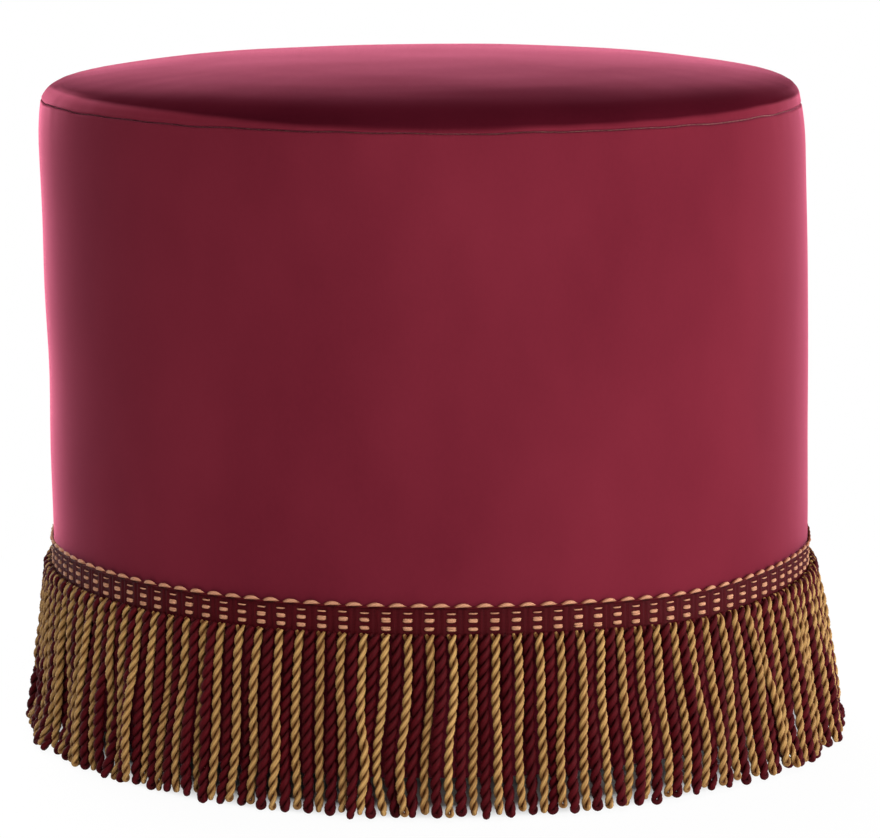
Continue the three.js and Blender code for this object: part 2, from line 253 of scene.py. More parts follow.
class Finish:
    """A material being made. Its node method adds any node: its settings first, then its sockets."""

    def __init__(self, name):
        self.material = bpy.data.materials.new(name)
        self.material.use_nodes = True
        self.tree = self.material.node_tree
        self.tree.nodes.clear()

    def node(self, kind, settings=None, sockets=None, output=0):
        """Adds a node of that type. A value in sockets is a Socket to link or a plain value to set."""
        node = self.tree.nodes.new(kind)
        for key, value in (settings or {}).items():
            setattr(node, key, value)
        for key, value in (sockets or {}).items():
            if isinstance(value, Socket):
                self.tree.links.new(value.output, node.inputs[key])
            else:
                node.inputs[key].default_value = value
        return Socket(self, node.outputs[output]) if node.outputs else None

    def place(self, scale=(1, 1, 1), turn=(0, 0, 0), shift=(0, 0, 0)):
        """Object coordinates, shifted, turned and scaled by a Mapping node."""
        here = self.node("ShaderNodeTexCoord", output="Object")
        sockets = {"Vector": here, "Location": shift, "Rotation": turn, "Scale": scale}
        return self.node("ShaderNodeMapping", sockets=sockets)

    def along(self, output):
        """The u (X) or v (Y) of the piece's own UV map."""
        uv = self.node("ShaderNodeUVMap", {"uv_map": "UVMap"})
        return self.node("ShaderNodeSeparateXYZ", sockets={0: uv}, output=output)

    def noise(self, vector, scale, detail=2.0, rough=0.5):
        sockets = {"Vector": vector, "Scale": scale, "Detail": detail, "Roughness": rough}
        return self.node("ShaderNodeTexNoise", sockets=sockets)

    def attribute(self, name):
        return self.node("ShaderNodeAttribute", {"attribute_name": name}, output="Fac")

    def blend(self, share, first, second):
        """first where share is 0, second where it is 1; each is a colour or a Socket."""
        colours = {6: first, 7: second}
        sockets = {k: v if isinstance(v, Socket) else (*v[:3], 1.0) for k, v in colours.items()}
        return self.node("ShaderNodeMix", {"data_type": "RGBA"}, {0: share, **sockets}, output=2)

    def bump(self, height, distance, strength=1.0, under=None):
        sockets = {"Height": height, "Distance": distance, "Strength": strength}
        if under is not None:
            sockets["Normal"] = under
        return self.node("ShaderNodeBump", sockets=sockets)

    def shader(self, **sockets):
        """A surface shader with those sockets."""
        named = {key.replace("_", " "): value for key, value in sockets.items()}
        return self.node("ShaderNodeBsdfPrincipled", sockets=named)

    def output(self, shader):
        """Puts the shader on the surface and gives the finished material."""
        self.node("ShaderNodeOutputMaterial", sockets={"Surface": shader})
        return self.material

    def surface(self, **sockets):
        """The finished material of one surface shader with those sockets."""
        return self.output(self.shader(**sockets))


def velvet_finish(name, settings):
    """Dense short pile: a dark body under a pink bloom that grows towards edges, brushed softly. Where the
    tone attribute is 0, as on the crown, the body is painted darker by crown_painted_shade, a painted shade for
    the top lying in less light, and its bloom is the seat's. Where it is 1, as on the side, the body keeps its
    own colour, and at 2, beside the seam, painted shade darkens the body and takes its bloom away."""
    finish = Finish(name)
    brushed = finish.noise(finish.place((1, 1, 0.55)), 9.0, 3.0, 0.6)
    grain = finish.noise(finish.place((1, 1, 0.7)), 420.0, 2.0)
    pile = finish.noise(finish.place(), 2600.0, 2.0)
    share = ((brushed - 0.5) * 1.6 + 0.5 + (grain - 0.5) * 0.25).clamped()
    tone = finish.attribute("tone")
    # 0 where the crown's painted shade applies, 1 on the side, which has none
    standing = tone.clamped()
    # Painted shade in the seam's crease, where the tone attribute rises above 1
    seam_painted_shade_share = (tone - 1.0).clamped()
    ends = [tuple(colour) for colour in (settings.velvet_dark, settings.velvet)]
    # Painted shade: darker copies of the pile's colours, for the crown and for the seam's crease
    painted_shade_colours = [tuple(a * b for a, b in zip(colour, settings.crown_painted_shade)) for colour in ends]
    nap = finish.bump(brushed, 0.6 * MM, 0.5)
    piles = (
        (finish.blend(share, *painted_shade_colours), settings.seat_bloom, settings.seat_spread, settings.bloom),
        (finish.blend(share, *ends), settings.side_bloom, settings.side_spread, settings.bloom),
        # The seam's painted shade: the darker copies, with no bloom
        (finish.blend(share, *painted_shade_colours), 0.0, 0.3, settings.bloom),
    )
    shaders = [
        finish.shader(
            Base_Color=body,
            Roughness=0.86 - grain * 0.1,
            Specular_IOR_Level=0.0,
            Sheen_Weight=weight,
            Sheen_Roughness=spread,
            Sheen_Tint=(*tint, 1.0),
            Normal=finish.bump(pile, 0.12 * MM, 0.3, nap),
        )
        for body, weight, spread, tint in piles
    ]
    # The crown's painted shade is mixed in by the tone attribute, then the seam's
    upright = finish.node("ShaderNodeMixShader", sockets={0: standing, 1: shaders[0], 2: shaders[1]})
    return finish.output(finish.node("ShaderNodeMixShader", sockets={0: seam_painted_shade_share, 1: upright, 2: shaders[2]}))


def yarn_finish(name, colour, groove, gleam, sheen):
    """Satin yarn: fine fibres run along the ply with a slight twist, height = |sin(pi (v fibres + u twist))|,
    with a painted highlight on their backs and painted shade between them. The side of a ply that faces its
    neighbour lies in the groove, (1 + cos(360 degrees v)) / 2, and painted shade darkens it toward the groove
    colour, while the lit side takes a paler copy of the colour. Each cord has its own tone."""
    finish = Finish(name)
    around_ply = finish.along("Y")
    fibre = (around_ply * 5.0 + finish.along("X") * 0.16) * math.pi
    back = fibre.sine().size()
    fuzz = finish.noise(finish.place(), 900.0, 3.0, 0.6)
    # Painted shade: the side of each ply that faces its neighbour is darkened toward the groove colour, and the fibres'
    # backs get a painted highlight
    painted_groove_light = ((around_ply * FULL + math.pi / 2).sine() * 0.5 + 0.5) ** 1.7
    light = (back * 0.3 + fuzz * 0.35 + (finish.attribute("tone") - 0.5) * 0.35 + 0.3).clamped() * painted_groove_light
    # A paler copy of the yarn's colour: the lit end of its painted light and shade
    pale = tuple(min(1.0, value * 1.25) for value in colour)
    normal = finish.bump(back * 0.7 + fuzz * 0.5, 0.16 * MM, 0.8)
    return finish.surface(
        Base_Color=finish.blend(light, groove, pale),
        Roughness=0.5 + fuzz * 0.25,
        Specular_IOR_Level=gleam,
        Sheen_Weight=sheen,
        Sheen_Roughness=0.4,
        Sheen_Tint=(*pale, 1.0),
        Normal=normal,
    )


def foam_finish(settings):
    """Open-cell foam: tiny pits, a little yellower where it is old."""
    finish = Finish("foam")
    pits = finish.node("ShaderNodeTexVoronoi", sockets={"Vector": finish.place(), "Scale": 900.0})
    aged = finish.noise(finish.place(), 14.0, 3.0)
    dark = tuple(value * 0.84 for value in settings.foam)
    return finish.surface(
        Base_Color=finish.blend(aged, dark, settings.foam),
        Roughness=0.92,
        Specular_IOR_Level=0.2,
        Normal=finish.bump(pits, 0.3 * MM, 0.7),
    )


def wadding_finish(settings):
    """Spun polyester: matted fibres with thin and thick patches."""
    finish = Finish("wadding")
    fibres = finish.noise(finish.place((1, 1, 0.4)), 520.0, 5.0, 0.7)
    patches = finish.noise(finish.place(), 22.0, 3.0)
    dark = tuple(value * 0.82 for value in settings.wadding)
    return finish.surface(
        Base_Color=finish.blend(patches * 0.5 + fibres * 0.5, dark, settings.wadding),
        Roughness=0.95,
        Specular_IOR_Level=0.15,
        Sheen_Weight=0.3,
        Sheen_Roughness=0.6,
        Normal=finish.bump(fibres, 0.5 * MM, 0.8),
    )


def cambric_finish(settings):
    """Black spun-bonded cloth with its embossed grid of small dimples."""
    finish = Finish("dust_cloth")
    turned = finish.place((1, 1, 1), (0, 0, math.radians(45)))
    across = finish.node("ShaderNodeSeparateXYZ", sockets={0: turned}, output=0)
    along = finish.node("ShaderNodeSeparateXYZ", sockets={0: turned}, output=1)
    dimple = (across * 2600.0).sine() * (along * 2600.0).sine()
    fibres = finish.noise(finish.place(), 700.0, 4.0, 0.7)
    pale = tuple(value * 2.2 + 0.01 for value in settings.cambric)
    return finish.surface(
        Base_Color=finish.blend(fibres, settings.cambric, pale),
        Roughness=0.8,
        Specular_IOR_Level=0.25,
        Normal=finish.bump(dimple * 0.5 + fibres, 0.15 * MM, 0.8),
    )


def plywood_finish():
    """Birch plywood: thin plies that alternate in tone down the edge, and long soft grain on the faces."""
    finish = Finish("plywood")
    height = finish.node("ShaderNodeSeparateXYZ", sockets={0: finish.place()}, output=2)
    plies = ((height * (FULL / (3 * MM))).sine() * 3.0 + 0.5).clamped()
    grain = finish.noise(finish.place((14, 160, 60)), 2.4, 5.0, 0.62)
    streak = finish.noise(finish.place((3, 34, 20)), 2.0, 3.0)
    face = finish.blend(streak, paint(196, 160, 112), paint(222, 192, 146))
    colour = finish.blend(plies * 0.28 + grain * 0.3, face, paint(150, 112, 70))
    return finish.surface(
        Base_Color=colour, Roughness=0.5 + grain * 0.25, Normal=finish.bump(grain, 0.2 * MM, 0.5)
    )


def pine_finish():
    """Sawn pine: growth rings cut lengthwise, so that they run up the post as uneven bands."""
    finish = Finish("pine")
    bend = finish.noise(finish.place((6, 6, 1.2)), 3.0, 3.0)
    across = finish.node("ShaderNodeSeparateXYZ", sockets={0: finish.place()}, output=0)
    along = finish.node("ShaderNodeSeparateXYZ", sockets={0: finish.place()}, output=1)
    rings = ((across * 900.0 + along * 620.0 + bend * 26.0).sine() * 0.5 + 0.5) ** 2.0
    saw = finish.noise(finish.place((20, 20, 900)), 1.0, 2.0)
    colour = finish.blend(rings * 0.8, paint(224, 192, 142), paint(176, 128, 76))
    return finish.surface(
        Base_Color=colour, Roughness=0.55 + saw * 0.2, Normal=finish.bump(saw + rings * 0.4, 0.2 * MM, 0.5)
    )


def hardboard_finish():
    """Pressed fibre board: brown, flecked with short pale and dark fibres."""
    finish = Finish("hardboard")
    flecks = finish.noise(finish.place((1, 1, 1.6)), 480.0, 4.0, 0.7)
    cloud = finish.noise(finish.place(), 18.0, 2.0)
    colour = finish.blend(flecks * 0.7 + cloud * 0.3, paint(84, 54, 32), paint(142, 100, 64))
    return finish.surface(Base_Color=colour, Roughness=0.62, Normal=finish.bump(flecks, 0.15 * MM, 0.6))


def plastic_finish():
    """Moulded black plastic with a fine spark-eroded grain, rubbed a little smoother in patches."""
    finish = Finish("foot_plastic")
    grain = finish.noise(finish.place(), 1500.0, 2.0)
    rubbed = finish.noise(finish.place(), 60.0, 2.0)
    return finish.surface(
        Base_Color=finish.blend(rubbed, paint(20, 20, 21), paint(34, 34, 36)),
        Roughness=0.38 + rubbed * 0.25,
        Normal=finish.bump(grain, 0.1 * MM, 0.6),
    )


def steel_finish(name):
    """Zinc-plated steel with a faint spangle and fine scratches."""
    finish = Finish(name)
    spangle = finish.noise(finish.place(), 700.0, 2.0)
    return finish.surface(
        Base_Color=finish.blend(spangle, paint(176, 178, 180), paint(214, 214, 208)),
        Metallic=1.0,
        Roughness=0.26 + spangle * 0.2,
        Normal=finish.bump(spangle, 0.05 * MM, 0.5),
    )


# Surfaces


def around(angle, radius, height):
    """Points (radius cos angle, radius sin angle, height), from any arrays that fit each other."""
    x, y, z = np.broadcast_arrays(radius * np.cos(angle), radius * np.sin(angle), height)
    return np.stack([x, y, z], axis=-1)


def grid_faces(rows, columns, wrap_rows, wrap_columns):
    """The quads between the points of a rows by columns grid, as (faces, places): the numbers of each quad's
    corners, and each corner's (column, row), which go on counting where the grid wraps."""
    row, column = np.meshgrid(
        np.arange(rows if wrap_rows else rows - 1),
        np.arange(columns if wrap_columns else columns - 1),
        indexing="ij",
    )
    corner_rows = np.stack([row, row, row + 1, row + 1], axis=-1).reshape(-1, 4)
    corner_columns = np.stack([column, column + 1, column + 1, column], axis=-1).reshape(-1, 4)
    faces = (corner_rows % rows) * columns + corner_columns % columns
    return faces, np.stack([corner_columns, corner_rows], axis=-1).astype(float)


class Surface:
    """Closed bodies gathered as arrays, which then become one mesh object."""

    def __init__(self):
        self.points = []
        self.tones = []
        self.faces = []
        self.places = []
        self.count = 0

    def add(self, points, faces, places, tone=0.5):
        """Adds closed bodies: points (n, 3), faces a list of corner arrays of one size each, places the same
        corners' UV. The faces are turned round if they enclose less than nothing."""
        volume = 0.0
        for corners in faces:
            first = points[corners[:, 0]]
            for i in range(1, corners.shape[1] - 1):
                volume += np.sum(first * np.cross(points[corners[:, i]], points[corners[:, i + 1]]))
        step = -1 if volume < 0 else 1
        self.faces += [corners[:, ::step] + self.count for corners in faces]
        self.places += [place[:, ::step] for place in places]
        self.points.append(points)
        self.tones.append(np.broadcast_to(tone, len(points)))
        self.count += len(points)

    def make(self, name, material, replaces=()):
        """The mesh object, riding on the body."""
        points = np.concatenate(self.points)
        corners = np.concatenate([face.ravel() for face in self.faces])
        sizes = np.concatenate([np.full(len(face), face.shape[1]) for face in self.faces])
        mesh = bpy.data.meshes.new(name)
        mesh.vertices.add(len(points))
        mesh.vertices.foreach_set("co", points.astype(np.float32).ravel())
        mesh.loops.add(len(corners))
        mesh.loops.foreach_set("vertex_index", corners.astype(np.int32))
        mesh.polygons.add(len(sizes))
        mesh.polygons.foreach_set("loop_start", (np.cumsum(sizes) - sizes).astype(np.int32))
        mesh.polygons.foreach_set("use_smooth", np.ones(len(sizes), bool))
        uv = np.concatenate([place.reshape(-1, 2) for place in self.places])
        mesh.uv_layers.new(name="UVMap").uv.foreach_set("vector", uv.astype(np.float32).ravel())
        tone = mesh.attributes.new("tone", "FLOAT", "POINT")
        tone.data.foreach_set("value", np.concatenate(self.tones).astype(np.float32))
        mesh.update(calc_edges=True)
        if mesh.validate():
            raise RuntimeError(f"{name} has a face that isn't sound")
        mesh.materials.append(material)
        piece = bpy.data.objects.new(name, mesh)
        bpy.context.scene.collection.objects.link(piece)
        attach(piece, BODY)
        if replaces:
            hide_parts(*replaces)
        return piece


def add_turned(surface, radius, height, columns, lean=0.0, tone=0.5):
    """Adds a surface that goes once round the axis. radius, height, lean and tone are arrays that fit (rows,
    columns): point = (radius cos a + lean, radius sin a, height), a = 360 degrees * column / columns.
    First and last rows of no radius become poles that are closed by fans; other rows close on themselves."""
    angle = FULL * np.arange(columns) / columns
    grid = around(angle, radius, height)
    grid[..., 0] += lean
    tone = np.broadcast_to(tone, grid.shape[:2])
    rows = len(grid)
    if np.max(np.abs(radius[0])) > 0:
        faces, places = grid_faces(rows, columns, True, True)
        surface.add(grid.reshape(-1, 3), [faces], [places / (columns, rows)], tone.ravel())
        return
    rings = grid[1:-1]
    faces, places = grid_faces(rows - 2, columns, False, True)
    points = np.concatenate([rings.reshape(-1, 3), grid[0, :1], grid[-1, :1]])
    tones = np.concatenate([tone[1:-1].ravel(), tone[0, :1], tone[-1, :1]])
    first = len(points) - 2
    ring = np.arange(columns)
    after = (ring + 1) % columns
    last_ring = ring + (rows - 3) * columns
    last_after = after + (rows - 3) * columns
    top = np.stack([np.full(columns, first), after, ring], axis=-1)
    low = np.stack([np.full(columns, first + 1), last_ring, last_after], axis=-1)
    flat = np.stack([np.stack([ring, ring + 1, ring], axis=-1), np.full((columns, 3), 0)], axis=-1) / columns
    surface.add(points, [faces, top, low], [(places + (0, 1)) / (columns, rows), flat, flat + (0, 1)], tones)


def rounded_line(corners, rounding, steps=5):
    """A closed line through the corners, each (radius, height), with every corner rounded by a quadratic
    curve: (1-t)^2 start + 2t(1-t) corner + t^2 end, where start and end lie rounding from the corner."""
    points = np.array(corners, float)
    before = np.roll(points, 1, axis=0) - points
    after = np.roll(points, -1, axis=0) - points
    sizes = np.broadcast_to(rounding, len(points))[:, None]
    start = points + before / np.linalg.norm(before, axis=1)[:, None] * sizes
    end = points + after / np.linalg.norm(after, axis=1)[:, None] * sizes
    t = np.linspace(0, 1, steps)[None, :, None]
    curve = (1 - t) ** 2 * start[:, None] + 2 * t * (1 - t) * points[:, None] + t**2 * end[:, None]
    return curve.reshape(-1, 2)


def tubes(centre, out, half_out, half_wide, sides):
    """Tubes with oval sections. centre (tubes, rings, 3) is the line, out the direction of the section's first
    half axis half_out; the second, half_wide, lies square to it and to the line:
    point = centre + half_out cos b out + half_wide sin b side. Each end is closed by a fan."""
    along = np.gradient(centre, axis=1)
    along /= np.linalg.norm(along, axis=2)[..., None]
    side = np.cross(along, out)
    side /= np.linalg.norm(side, axis=2)[..., None]
    outward = np.cross(side, along)
    turn = FULL * np.arange(sides) / sides
    first = half_out[..., None, None] * np.cos(turn)[:, None] * outward[:, :, None]
    second = half_wide[..., None, None] * np.sin(turn)[:, None] * side[:, :, None]
    return centre[:, :, None] + first + second


def add_tubes(surface, centre, out, half_out, half_wide, sides, stretch, tone):
    """Adds closed tubes, with u along each in units of stretch and v round it. tone has one value a tube."""
    rings = tubes(centre, out, half_out, half_wide, sides)
    count, length = rings.shape[:2]
    each = length * sides
    faces, places = grid_faces(length, sides, False, True)
    step = np.mean(np.linalg.norm(np.diff(centre, axis=1), axis=2)) / stretch
    uv = places[..., ::-1] * (step, 1 / sides)
    ring = np.arange(sides)
    after = (ring + 1) % sides
    start = np.stack([np.full(sides, each), after, ring], axis=-1)
    finish = np.stack([np.full(sides, each + 1), ring + each - sides, after + each - sides], axis=-1)
    points = np.concatenate([rings.reshape(count, each, 3), centre[:, [0, -1]]], axis=1)
    offset = (np.arange(count) * (each + 2))[:, None, None]
    bodies = [(offset + face).reshape(-1, face.shape[1]) for face in (faces, start, finish)]
    caps = np.zeros((count * sides, 3, 2))
    maps = [np.tile(uv, (count, 1, 1)), caps, caps]
    surface.add(points.reshape(-1, 3), bodies, maps, np.repeat(tone, each + 2))


def ripple(angle, height, seed, turns, rises, size):
    """Soft unevenness: the sum of sines in angle and height with seeded phases, each
    size sin(n angle + k height + phase) / sqrt(number of sines)."""
    rng = np.random.default_rng(seed)
    total = 0.0
    for turn in turns:
        for rise in rises:
            total = total + np.sin(turn * angle + rise * height + rng.uniform(0, FULL)) * rng.uniform(0.5, 1)
    return size * total / math.sqrt(len(turns) * len(rises))


def fine_rows(field, rows, columns, waves):
    """A field on a coarse (rows, columns) grid round the drum, made finer: its columns by its Fourier series, of
    which only that many waves are kept, and its rows by Catmull-Rom curves."""
    spectrum = np.fft.rfft(field, axis=1)
    spectrum[:, waves + 1 :] = 0
    wide = np.fft.irfft(spectrum, columns, axis=1) * columns / field.shape[1]
    at = np.clip(rows, 0, 1) * (len(field) - 1)
    low = np.minimum(at.astype(int), len(field) - 2)
    t = (at - low)[:, None]
    padded = np.concatenate([2 * wide[:1] - wide[1:2], wide, 2 * wide[-1:] - wide[-2:-1]])
    p0, p1, p2, p3 = (padded[low + i] for i in range(4))
    return 0.5 * (
        2 * p1 + (p2 - p0) * t + (2 * p0 - 5 * p1 + 4 * p2 - p3) * t**2 + (3 * p1 - p0 - 3 * p2 + p3) * t**3
    )


def swell(grid, settings, pole=None):
    """Cloth simulation of a stretched cover on a coarse grid of points (rows, columns, 3) round the axis, held
    at its first and last rows, or at its last alone when pole is its middle point. The padding presses from
    inside for 20 frames, without gravity. Gives each point's move, times min(1, cap / its length)."""
    rows, columns = grid.shape[:2]
    faces = grid_faces(rows, columns, False, True)[0][:, ::-1].tolist()
    points = grid.reshape(-1, 3)
    held = [*range((rows - 1) * columns, rows * columns)]
    if pole is None:
        held += [*range(columns)]
    else:
        ring = np.arange(columns)
        faces += np.stack([np.full(columns, len(points)), ring, (ring + 1) % columns], axis=-1).tolist()
        points = np.concatenate([points, [pole]])
    mesh = bpy.data.meshes.new("cover_trial")
    mesh.from_pydata(points.tolist(), [], faces)
    trial = bpy.data.objects.new("cover_trial", mesh)
    bpy.context.scene.collection.objects.link(trial)
    trial.vertex_groups.new(name="held").add(held, 1.0, "REPLACE")
    cloth = trial.modifiers.new("cloth", "CLOTH")
    cloth.settings.quality = 6
    cloth.settings.mass = 0.35
    cloth.settings.tension_stiffness = 30
    cloth.settings.compression_stiffness = 30
    cloth.settings.shear_stiffness = 10
    cloth.settings.bending_stiffness = 2
    cloth.settings.vertex_group_mass = "held"
    cloth.settings.use_pressure = True
    cloth.settings.uniform_pressure_force = settings.pressure
    cloth.settings.effector_weights.gravity = 0
    cloth.collision_settings.use_collision = False
    scene = bpy.context.scene
    for number in range(1, 21):
        scene.frame_set(number)
    shaped = trial.evaluated_get(bpy.context.evaluated_depsgraph_get()).data
    moved = np.zeros(len(points) * 3, np.float32)
    shaped.vertices.foreach_get("co", moved)
    scene.frame_set(1)
    bpy.data.objects.remove(trial)
    bpy.data.meshes.remove(mesh)
    move = moved.reshape(-1, 3)[: rows * columns].reshape(grid.shape) - grid
    size = np.linalg.norm(move, axis=2)
    return move * np.minimum(1, settings.swell_cap / np.maximum(size, 1e-9))[..., None]


# Covers


def lean_at(height, settings):
    """How far the padding has settled sideways at a height: lean * (way^1.4 - back * up^1.5), where way goes
    from 0 at the heading to 1 at the seam, and up from 0 at the seam to 1 at the top."""
    way = np.clip((height - TAPE_TOP) / (SEAM_HEIGHT - TAPE_TOP), 0, 1)
    up = np.clip((height - SEAM_HEIGHT) / (SEAT_TOP - SEAM_HEIGHT), 0, 1)
    return -settings.lean * (way**1.4 - settings.crown_back * up**1.5)


def settled(angle, radius, height, settings):
    """Heights after settling. The crown rises to the right by tilt * x * up. The seam sinks towards the front
    right by sag * (0.5 + 0.5 cos(angle + 40 degrees)) and rises all round by seam_rise, with small seeded kinks,
    and what lies near it follows: above it by 1 - up, below it by way^2 (3 - 2 way) over 40 mm."""
    up = np.clip((height - SEAM_HEIGHT) / (SEAT_TOP - SEAM_HEIGHT), 0, 1)
    way = np.clip(1 - (SEAM_HEIGHT - height) / (40 * MM), 0, 1)
    sag = settings.seam_sag * (0.5 + 0.5 * np.cos(angle + math.radians(40))) - settings.seam_rise
    kinks = ripple(angle, 0.0, 14, (9, 17, 26, 41), (0,), 0.35 * MM) * np.exp(-np.abs(height - SEAM_HEIGHT) / (7 * MM))
    rise = settings.crown_tilt * radius * np.cos(angle) * up
    return height + rise - (sag * (1 - up) * way**2 * (3 - 2 * way)) + kinks


def drawn_radius(radius, height, settings):
    """Radius drawn in towards the seam: by draw_in * way^2, where way goes from 0 a little below the seam to 1 at
    it, and stays 1 above it."""
    way = np.clip(1 - (SEAM_HEIGHT - height) / settings.draw_height, 0, 1)
    return radius - settings.draw_in * way**2 * np.clip(radius / SEAT_RADIUS, 0, 1) ** 2


def inset_line(radius, height, inset):
    """A line moved in, square to itself, by inset."""
    along = np.stack([np.gradient(radius), np.gradient(height)])
    along /= np.linalg.norm(along, axis=0)
    return np.where(radius > 0, radius + inset * along[1], 0.0), height - inset * along[0]


def rounded_path(corners, rounding, steps):
    """The open line through the corners, each (radius, height), whose inner corners are rounded by quadratic
    curves: (1-t)^2 start + 2t(1-t) corner + t^2 end, where start and end lie rounding from the corner."""
    points = np.array(corners, float)
    middle = points[1:-1]
    before = points[:-2] - middle
    after = points[2:] - middle
    sizes = np.broadcast_to(rounding, len(middle))[:, None]
    start = middle + before / np.linalg.norm(before, axis=1)[:, None] * sizes
    end = middle + after / np.linalg.norm(after, axis=1)[:, None] * sizes
    t = np.linspace(0, 1, steps)[None, :, None]
    curve = (1 - t) ** 2 * start[:, None] + 2 * t * (1 - t) * middle[:, None] + t**2 * end[:, None]
    return np.concatenate([points[:1], curve.reshape(-1, 2), points[-1:]])


def seat_line(settings, crown_steps=34):
    """The seat's line from the middle to the seam, as (radius, height). It is level, then falls by
    crown_rise * (1 - (1 - way^power)^full) to the ridge, turns over it into a slanting band, and tucks in at
    the seam."""
    ridge = SEAT_RADIUS - settings.ridge_inset
    ridge_height = SEAT_TOP - settings.crown_rise
    crown_radius = (ridge - 2.9 * MM) * np.linspace(0, 1, crown_steps) ** 0.7
    reach = np.clip((crown_radius - settings.crown_flat) / (ridge - settings.crown_flat), 0, 1)
    crown = SEAT_TOP - settings.crown_rise * (1 - (1 - reach**settings.crown_power) ** settings.crown_full)
    corner = (SEAT_RADIUS - settings.edge_slant, ridge_height - 0.2 * MM)
    foot = (SEAT_RADIUS, SEAM_OVER + 0.2 * MM)
    edge = rounded_path(
        [(crown_radius[-1], crown[-1]), corner, foot, (SEAT_RADIUS - settings.tuck, SEAM_OVER)],
        [settings.edge_round, settings.tuck_height],
        8,
    )[1:]
    middle = (edge[7] + edge[8]) / 2
    edge = np.concatenate([edge[:8], [middle], edge[8:]])
    return np.concatenate([crown_radius, edge[:, 0]]), np.concatenate([crown, edge[:, 1]])


def puckers(angle, height, settings):
    """How far the stitches pull the velvet in: depth * (0.5 + 0.5 cos(count angle))^2 * unevenness *
    e^(-distance from the seam / 3 mm). They pull hardest at the front, about 3 degrees to the right."""
    wave = (0.5 + 0.5 * np.cos(settings.pucker_count * angle)) ** 2
    hard = np.exp(-(((angle - math.radians(273)) / math.radians(7)) ** 2))
    uneven = 1.6 * hard + np.clip(ripple(angle, 0.0, 5, (5, 9, 16, 29), (0,), 0.8) - 0.45, 0, 1)
    soft = ripple(angle, 0.0, 8, (23, 37, 52, 71, 95), (0,), 0.35)
    near = np.exp(-np.abs(height - SEAM_HEIGHT) / (3 * MM))
    wide = np.exp(-np.abs(height - SEAM_HEIGHT) / (9 * MM))
    return settings.pucker_depth * (wave * uneven * near + soft * wide)


def line_share(radius, height):
    """How far along its line each point lies, from 0 to 1."""
    length = np.concatenate([[0], np.cumsum(np.hypot(np.diff(radius), np.diff(height)))])
    return length / length[-1]


def seat_swell(settings):
    """The simulated swelling of the seat cover, as fields of outward and upward moves on a coarse grid. The
    seat's line already has the swollen crown, so each ring's mean move is taken off."""
    radius, height = seat_line(settings)
    share = line_share(radius, height)
    at = np.linspace(0.06, 1, 26)
    coarse_radius = np.interp(at, share, radius)[:, None]
    coarse_height = np.interp(at, share, height)[:, None]
    angle = FULL * np.arange(120) / 120
    lumps = ripple(angle, coarse_radius, 3, (2, 3, 5), (20, 45), 0.3 * MM) * (1 - at[:, None] ** 4)
    grid = around(angle, coarse_radius, coarse_height + lumps)
    move = swell(grid, settings, pole=(0, 0, SEAT_TOP))
    outward = move[..., 0] * np.cos(angle) + move[..., 1] * np.sin(angle)
    upward = move[..., 2] + lumps
    return at, outward - outward.mean(axis=1, keepdims=True), upward - upward.mean(axis=1, keepdims=True)


def painted_seam_shade(height):
    """How much painted shade darkens the pile in the seam's crease and takes its bloom: half at it, and none from 1.2
    mm away.
    """
    return 0.5 * np.clip(1 - np.abs(height - SEAM_HEIGHT) / (1.2 * MM), 0, 1)


def crown_and_seam_painted_shade(angle, radius, height):
    """Where the seat's velvet takes painted shade: 0 on the crown, whose body is painted darker and which takes
    the seat's bloom, 1 on the band over the seam, which is not darkened. The change lies 6.4 mm over the seam,
    3.2 mm over it round the front, dip = e^-((angle - 262) / 58 degrees)^4, and lower and softer still at the
    very front, low = e^-((angle - 271) / 13 degrees)^2. At the left front it lies 4 mm higher,
    left = e^-((angle - 215) / 30 degrees)^4. The painted shade of the seam's crease is added on top."""
    dip = np.exp(-(((angle - math.radians(262)) / math.radians(58)) ** 4))
    low = np.exp(-(((angle - math.radians(271)) / math.radians(13)) ** 2))
    left = np.exp(-(((angle - math.radians(215)) / math.radians(30)) ** 4))
    edge = SEAM_HEIGHT + (6.4 - 3.2 * dip - 1.9 * low + 4.0 * left) * MM
    tone = np.clip((edge - height) / ((1.4 + 0.8 * dip + 2.0 * low) * MM) + 0.5, 0, 1)
    return (tone + painted_seam_shade(height)) * (radius > 0.2)


def add_seat_cover(settings):
    """The round seat panel: crowned, rolled over its edge and drawn in at the seam."""
    columns = settings.columns
    angle = FULL * np.arange(columns) / columns
    at, outward, upward = seat_swell(settings)
    layers = []
    line = seat_line(settings)
    along = line_share(*line)
    for inset in (0.0, settings.thick):
        radius, height = inset_line(*line, inset)
        share = (along - at[0]) / (1 - at[0])
        fade = np.clip(along / 0.35, 0, 1)[:, None] ** 2
        push = fine_rows(outward, share, columns, settings.swell_waves) * fade
        lift = fine_rows(upward, share, columns, settings.swell_waves) * fade
        tall = height[:, None] + lift
        wide = radius[:, None] + np.where(radius[:, None] > 0, push, 0)
        wide = drawn_radius(wide, tall, settings)
        wide = wide - np.where(radius[:, None] > 0, puckers(angle, tall, settings), 0)
        layers.append((wide, tall))
    (outer_radius, outer_height), (inner_radius, inner_height) = layers
    radius = np.concatenate([outer_radius, inner_radius[::-1][::3], inner_radius[:1]])
    height = np.concatenate([outer_height, inner_height[::-1][::3], inner_height[:1]])
    # Painted shade: the crown's darker body and the seam's crease, carried by the tone attribute
    tone = crown_and_seam_painted_shade(angle, radius, height)
    tone[0], tone[-1] = 0, 0
    lean = lean_at(height, settings)
    surface = Surface()
    add_turned(surface, radius, settled(angle, radius, height, settings), columns, lean=lean, tone=tone)
    pile = velvet_finish("velvet_seat_pile", settings)
    seat = surface.make("seat_velvet", pile, ["seat_cover"])


